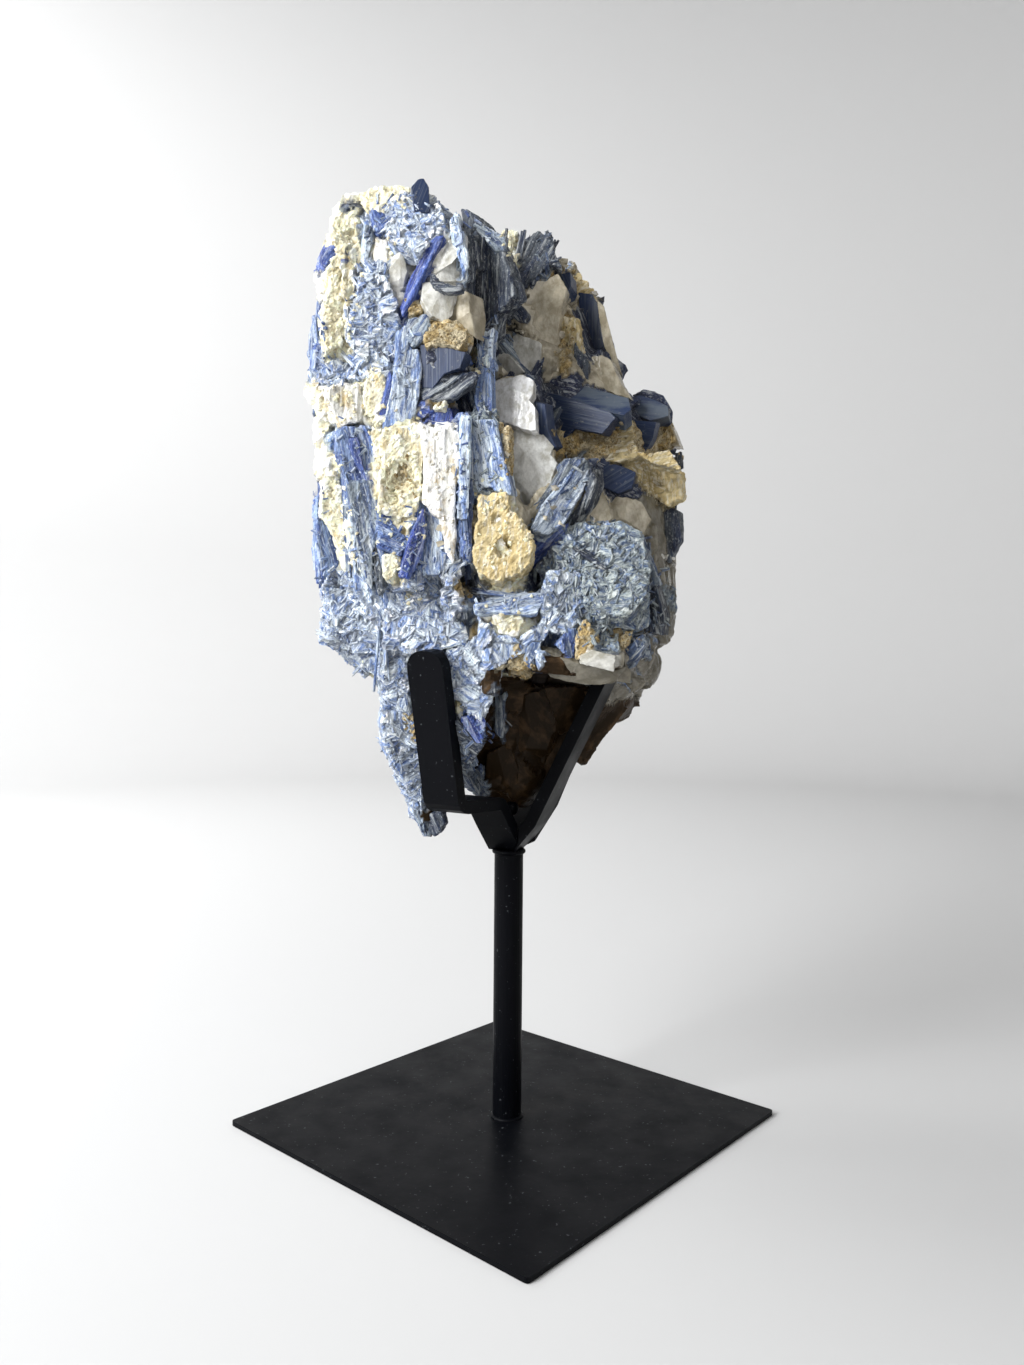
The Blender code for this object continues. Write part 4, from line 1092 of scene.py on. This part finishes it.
def face_plane(outline, turn, tilt, lift):
    """Plane on which a slab's face lies: a point and the outward direction."""
    low = Vector((min(x for x, _ in outline), min(y for _, y in outline)))
    high = Vector((max(x for x, _ in outline), max(y for _, y in outline)))
    middle = sum((Vector(corner) for corner in outline), Vector((0, 0))) / len(outline)
    hits = []
    for across in SLAB_SAMPLES:
        for down in SLAB_SAMPLES:
            px = low.x + (high.x - low.x) * across
            py = low.y + (high.y - low.y) * down
            place = SURFACE.ray_cast(EYE, ray_of(px, py))[0]
            if place and place.y < SLAB_BACK:
                hits.append((place - EYE).dot(AHEAD))
    depth = np.percentile(hits, SLAB_NEARNESS) if hits else SLAB_DEPTH
    ray = ray_of(middle.x, middle.y)
    point = EYE + ray * (depth / ray.dot(AHEAD))
    turned = Matrix.Rotation(math.radians(-turn), 3, UP) @ Matrix.Rotation(math.radians(-tilt), 3, RIGHT)
    outward = turned @ -AHEAD
    return point + outward * lift * MM, outward


def plate(piece, row, roughness, rng):
    """A crystal's outline drawn on the plane of its face and given its thickness, still in edit mode."""
    _, lean, thickness, lift, turn, tilt, outline = row
    point, outward = face_plane(outline, turn, tilt, lift)
    corners = []
    for corner in ragged(outline, lean, roughness, rng):
        ray = ray_of(*corner)
        corners.append(EYE + ray * ((point - EYE).dot(outward) / ray.dot(outward)))
    bpy.ops.object.select_all(action="DESELECT")
    bpy.ops.mesh.primitive_circle_add(vertices=len(corners), fill_type="NGON")
    item = bpy.context.object
    item.name = piece
    item.data.vertices.foreach_set("co", [part for corner in corners for part in corner])
    edit(item)
    bpy.ops.mesh.extrude_region_move(TRANSFORM_OT_translate={"value": -outward * thickness * MM})
    bpy.ops.mesh.select_all(action="SELECT")
    bpy.ops.mesh.normals_make_consistent(inside=False)
    return item, outward, corners


def slab_axes(lean, outward):
    """Axes of a slab's fibres, across, through and along, from their lean in the view."""
    angle = math.radians(lean)
    along = RIGHT * math.sin(angle) + UP * math.cos(angle)
    along = (along - outward * along.dot(outward)).normalized()
    return (*fibre_axes(along), along)


def add_slab(piece, row, rng):
    """One crystal or lump in view with a broken texture."""
    kind, lean = row[:2]
    tint, mineral, strength, _ = GROUND[kind]
    item, outward, _ = plate(piece, row, min(1.0, strength * 1.6), rng)
    done()
    apply_modifier(item, "REMESH", mode="VOXEL", voxel_size=SLAB_VOXEL)
    mesh = item.data
    points = points_of(mesh)
    edges = edges_of(mesh)
    facing = facing_of(mesh, edges, 2)
    axes = slab_axes(lean, outward)
    shift = Vector(texture_place(rng))
    base = np.array(TINTS[tint]) * rng.uniform(0.85, 1.15)
    grain = np.zeros_like(points)
    relief = np.zeros(len(points))
    pigment_and_shade = np.ones((len(points), 4))
    for index, point in enumerate(points):
        grain[index], height, shade = broken_at(point, kind, axes, shift)
        relief[index] = height * strength * SLAB_RELIEF
        pigment_and_shade[index, :3] = base * shade
    points = points + facing * relief[:, None] * MM
    px, py = pixels_of(points)
    for x, y, radius, deep in PITS:
        within = np.clip(1 - np.hypot(px - x, py - y) / radius + 0.4 * relief, 0, 1)
        points = points + np.array(AHEAD) * (np.sqrt(within) * deep * MM)[:, None]
    dress_with_painted_shade(mesh, points, edges, facing, grain, pigment_and_shade, 0.8 * MM)
    mesh.materials.append(MATERIALS[mineral])
    GROWN.setdefault(piece, []).append(item)


def break_facets(outward, corners, rng):
    """Cut slanting facets round the face of the crystal that is being edited."""
    middle = sum(corners, Vector()) / len(corners)
    for _ in range(QUARTZ_FACETS):
        angle = rng.uniform(0, 2 * math.pi)
        aside = RIGHT * math.cos(angle) + UP * math.sin(angle)
        reach = max((corner - middle).dot(aside) for corner in corners)
        bpy.ops.mesh.select_all(action="SELECT")
        bpy.ops.mesh.bisect(plane_co=middle + aside * reach * rng.uniform(0.2, 0.7),
                            plane_no=(outward + aside * rng.uniform(0.15, 0.55)).normalized(),
                            use_fill=True, clear_outer=True)


def add_crisp(piece, row, rng):
    """One crystal with flat faces and sharp edges; quartz also has facets broken round its face."""
    kind, lean = row[:2]
    tint, mineral, _, _ = GROUND[kind]
    item, outward, corners = plate(piece, row, 0.25 if mineral == KYANITE else 0.6, rng)
    if mineral != KYANITE:
        break_facets(outward, corners, rng)
    done()
    apply_modifier(item, "BEVEL", width=CRISP_BEVEL, segments=1, limit_method="ANGLE",
                   angle_limit=math.radians(40))
    mesh = item.data
    points = points_of(mesh)
    axes = np.array(slab_axes(lean, outward))
    shift = np.array(texture_place(rng))
    pigment_and_shade = np.ones((len(points), 4))
    pigment_and_shade[:, :3] = np.array(TINTS[tint]) * rng.uniform(0.9, 1.1)
    store(mesh, points / MM @ axes.T + shift, pigment_and_shade)
    mesh.materials.append(PRISM if mineral == KYANITE else MATERIALS[mineral])
    GROWN.setdefault(piece, []).append(item)


def cover_slabs():
    """Every crystal and lump in view that has its own outline."""
    rng = random.Random(4)
    for row in SLABS:
        if row[0] in CRISP:
            add_crisp("flat_crystals", row, rng)
        else:
            add_slab(SLAB_PIECES[GROUND[row[0]][1]], row, rng)


def inside(outline, px, py):
    """Whether a pixel lies within an outline."""
    crossings = 0
    for (x0, y0), (x1, y1) in zip(outline, outline[1:] + outline[:1]):
        if (y0 > py) != (y1 > py) and px < x0 + (x1 - x0) * (py - y0) / (y1 - y0):
            crossings += 1
    return crossings % 2 == 1


def scatter(model, piece, kinds, count, length, width, thickness, lift, rng):
    """Small pieces strewn in view on the streaks of these kinds of ground."""
    rows = [row for row in STREAKS if row[0] in kinds]
    weights = [(math.hypot(row[3] - row[1], row[4] - row[2]) + row[5]) * row[5] for row in rows]
    for kind, x0, y0, x1, y1, half in rng.choices(rows, weights, k=count):
        t = rng.random()
        cx = x0 + (x1 - x0) * t + rng.uniform(-1, 1) * half
        cy = y0 + (y1 - y0) * t + rng.uniform(-1, 1) * half
        angle = rng.uniform(0, math.pi)
        reach = rng.uniform(*length) / 2
        dx, dy = math.cos(angle) * reach, math.sin(angle) * reach
        if any(row[0] in CRISP and inside(row[6], cx, cy) for row in SLABS):
            continue
        lay_blade(model, piece, kind, (cx - dx, cy - dy, cx + dx, cy + dy), rng.uniform(*width),
                  rng.uniform(*thickness), rng.uniform(-40, 40), rng.uniform(*lift),
                  rng.uniform(0.75, 1.15), rng)


def behind(place):
    """Whether a point lies out of view behind the rock."""
    away = place - EYE
    return SURFACE.ray_cast(EYE, away.normalized(), away.length - 0.5 * MM)[0] is not None


def cover_far_sides(samples, rng):
    """Blades, splinters, blocks and crumbs laid along the fibres on the sides and the back."""
    for place, outward, along, kind in samples:
        mineral = GROUND[kind][1]
        outward, along = Vector(outward), Vector(along)
        across = along.cross(outward)
        if across.length < 0.5:
            continue
        across.normalize()
        along = outward.cross(across).normalized()
        spin = Matrix.Rotation(rng.gauss(0, 0.12), 3, outward) @ Matrix.Rotation(rng.gauss(0, 0.25), 3, along)
        axes = (spin @ across, spin @ outward, spin @ along)
        if mineral == KYANITE:
            size = (rng.uniform(1.5, 5.5), rng.uniform(0.8, 2.0), rng.uniform(8, 26))
            model = "blade" if size[0] > 3 else "splinter"
        else:
            span = rng.uniform(1.5, 5.0)
            size = (span, span * 0.7, span * rng.uniform(0.8, 1.6))
            model = "block" if mineral == QUARTZ else "crumb"
        centre = Vector(place) - axes[1] * size[1] * 0.3 * MM
        ends = [centre + axes[2] * size[2] * part * MM for part in (-0.55, 0, 0.55)]
        if all(behind(end) for end in ends):
            grow(model, "far_crystals", kind, centre, axes, size, rng.uniform(0.6, 1.3), rng)


def surface_of(items):
    """The surface of all these objects together, for laying more on them."""
    places, faces = [], []
    for item in items:
        start = len(places)
        places.extend(points_of(item.data).tolist())
        faces.extend([start + corner for corner in face.vertices] for face in item.data.polygons)
    return BVHTree.FromPolygons(places, faces)


def add_welds():
    """Small weld beads: round the post's foot, round its top and in the crotch of the two front bars."""
    bpy.ops.object.select_all(action="DESELECT")
    ray = ray_of(*CROTCH_PIXEL)
    crotch = EYE + ray * ((Vector((0, 0, POST_TOP)) - EYE).dot(AHEAD) / ray.dot(AHEAD))
    bpy.ops.mesh.primitive_uv_sphere_add(segments=24, ring_count=12, radius=WELD_BLOB, location=crotch)
    bpy.ops.object.transform_apply(location=True, rotation=True, scale=True)
    beads = [bpy.context.object]
    for height in (PLATE_TOP, POST_TOP):
        bpy.ops.mesh.primitive_torus_add(major_segments=48, minor_segments=10, major_radius=POST_RADIUS,
                                         minor_radius=WELD_BEAD, location=(0, 0, height))
        bpy.ops.object.transform_apply(location=True, rotation=True, scale=True)
        beads.append(bpy.context.object)
    welds = join(beads, "weld_beads")
    welds.data.shade_smooth()
    welds.data.materials.append(PAINT)
    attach(welds, "root")


def add_camera():
    """Camera at the viewer's place, with the calibrated turn and focal length."""
    data = bpy.data.cameras.new("view")
    data.sensor_fit = "VERTICAL"
    data.sensor_height = SENSOR_HEIGHT
    data.lens = FOCAL / IMAGE_HEIGHT * SENSOR_HEIGHT
    data.clip_start = 0.01
    camera = bpy.data.objects.new("view", data)
    bpy.context.scene.collection.objects.link(camera)
    camera.matrix_world = Matrix((
        (RIGHT.x, UP.x, -AHEAD.x, EYE.x),
        (RIGHT.y, UP.y, -AHEAD.y, EYE.y),
        (RIGHT.z, UP.z, -AHEAD.z, EYE.z),
        (0, 0, 0, 1),
    ))
    bpy.context.scene.camera = camera


def add_stage():
    """Pale floor that curves up into a round backdrop."""
    bpy.ops.object.select_all(action="DESELECT")
    bpy.ops.mesh.primitive_circle_add(vertices=96, radius=FLOOR_RADIUS, fill_type="NGON",
                                      location=(0, 0, -FLOOR_DROP))
    floor = bpy.context.object
    floor.name = "floor"
    edit(floor)
    turns = [math.radians(90 * index / COVE_STEPS) for index in range(COVE_STEPS + 1)]
    for before, after in zip(turns, turns[1:]):
        climb = COVE_RADIUS * (math.cos(before) - math.cos(after))
        inner = FLOOR_RADIUS + COVE_RADIUS * math.sin(before)
        outer = FLOOR_RADIUS + COVE_RADIUS * math.sin(after)
        bpy.ops.mesh.extrude_region_move(TRANSFORM_OT_translate={"value": (0, 0, climb)})
        bpy.ops.transform.resize(value=(outer / inner, outer / inner, 1), center_override=(0, 0, 0))
    bpy.ops.mesh.extrude_region_move(TRANSFORM_OT_translate={"value": (0, 0, BACKDROP_HEIGHT)})
    bpy.ops.mesh.delete(type="ONLY_FACE")
    done()
    floor.data.shade_smooth()
    t = Tree("floor")
    t.join("Base Color", (0.56, 0.557, 0.553, 1))
    t.join("Roughness", 0.85)
    floor.data.materials.append(t.material)


def add_light(name, place, target, size, power, colour):
    """Rectangular light at a place, turned towards a target; sizes in metres, power in watts."""
    data = bpy.data.lights.new(name, "AREA")
    data.shape = "RECTANGLE"
    data.size, data.size_y = size
    data.energy = power
    data.color = colour
    light = bpy.data.objects.new(name, data)
    bpy.context.scene.collection.objects.link(light)
    light.location = place
    light.rotation_euler = (Vector(target) - Vector(place)).to_track_quat("-Z", "Y").to_euler()
    light.visible_camera = False


def add_surroundings():
    """Even cool light from all round."""
    world = bpy.data.worlds.new("studio")
    bpy.context.scene.world = world
    world.use_nodes = True
    background = world.node_tree.nodes["Background"]
    background.inputs["Color"].default_value = (0.93, 0.94, 0.96, 1)
    background.inputs["Strength"].default_value = 0.26


# Materials, and the crystals that are copied to their places
MATERIALS = [kyanite_material(), feldspar_material(), quartz_material(), crust_material(),
             shaded_smoky_quartz_material()]
PAINT = paint_material()
PRISM = prism_material()
MODELS = {
    "blade": [blade_model(f"blade_{seed}", seed, 5, 3) for seed in range(5)],
    "splinter": [blade_model(f"splinter_{seed}", 20 + seed, 2, 2) for seed in range(4)],
    "block": [block_model(f"block_{seed}", 40 + seed) for seed in range(4)],
    "crumb": [crumb_model(f"crumb_{seed}", 60 + seed) for seed in range(4)],
}
GROWN = {}

# The rock, then the blades that lie on it
rock, far_samples = ground_rock()
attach(rock, "root")
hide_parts("kyanite_specimen")
SURFACE = BVHTree.FromObject(rock, bpy.context.evaluated_depsgraph_get())
cover_streaks()
gather("kyanite_blades")

# The crystals and lumps in view, which the small pieces lie on as well
cover_slabs()
SURFACE = surface_of([rock] + [item for items in GROWN.values() for item in items])
for piece in list(GROWN):
    gather(piece)

# Crumbs, splinters and chips in view, and everything on the far sides
strew = random.Random(31)
scatter("crumb", "crumbs", ("cream", "white", "ochre"), 700, (2, 6), (2, 6), (0.6, 1.6), (-0.2, 0.3), strew)
scatter("splinter", "splinters", ("pale", "blue", "scaly", "mottled", "grey"), 1300, (4, 13), (1, 3.6),
        (0.5, 1.2), (-0.1, 0.4), strew)
scatter("block", "quartz_chips", ("clear", "smoky"), 60, (3, 8), (3, 7), (1.0, 2.5), (-0.3, 0.4), strew)
cover_far_sides(far_samples, strew)
for piece in list(GROWN):
    gather(piece)
for models in MODELS.values():
    for item in models:
        bpy.data.objects.remove(item, do_unlink=True)

# The stand's paint and welds
for name in ("base_plate", "post", "front_left_prong", "front_right_prong", "rear_prong"):
    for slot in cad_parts[name].material_slots:
        slot.material = PAINT
add_welds()

# Camera, backdrop and light
add_camera()
add_stage()
add_light("key", (-0.55, -0.36, 0.48), (0, 0, 0.18), (0.36, 0.50), 9.8, (0.97, 0.985, 1.0))
add_light("backdrop_wash", (-0.75, 0.30, 0.95), (-0.45, 1.3, 0.55), (0.9, 0.9), 22.0, (0.98, 0.99, 1.0))
add_light("fill", (0.45, -0.95, 0.55), (0, 0, 0.17), (0.8, 0.8), 2.2, (1.0, 0.98, 0.95))
add_surroundings()
bpy.context.scene.view_settings.view_transform = "Standard"
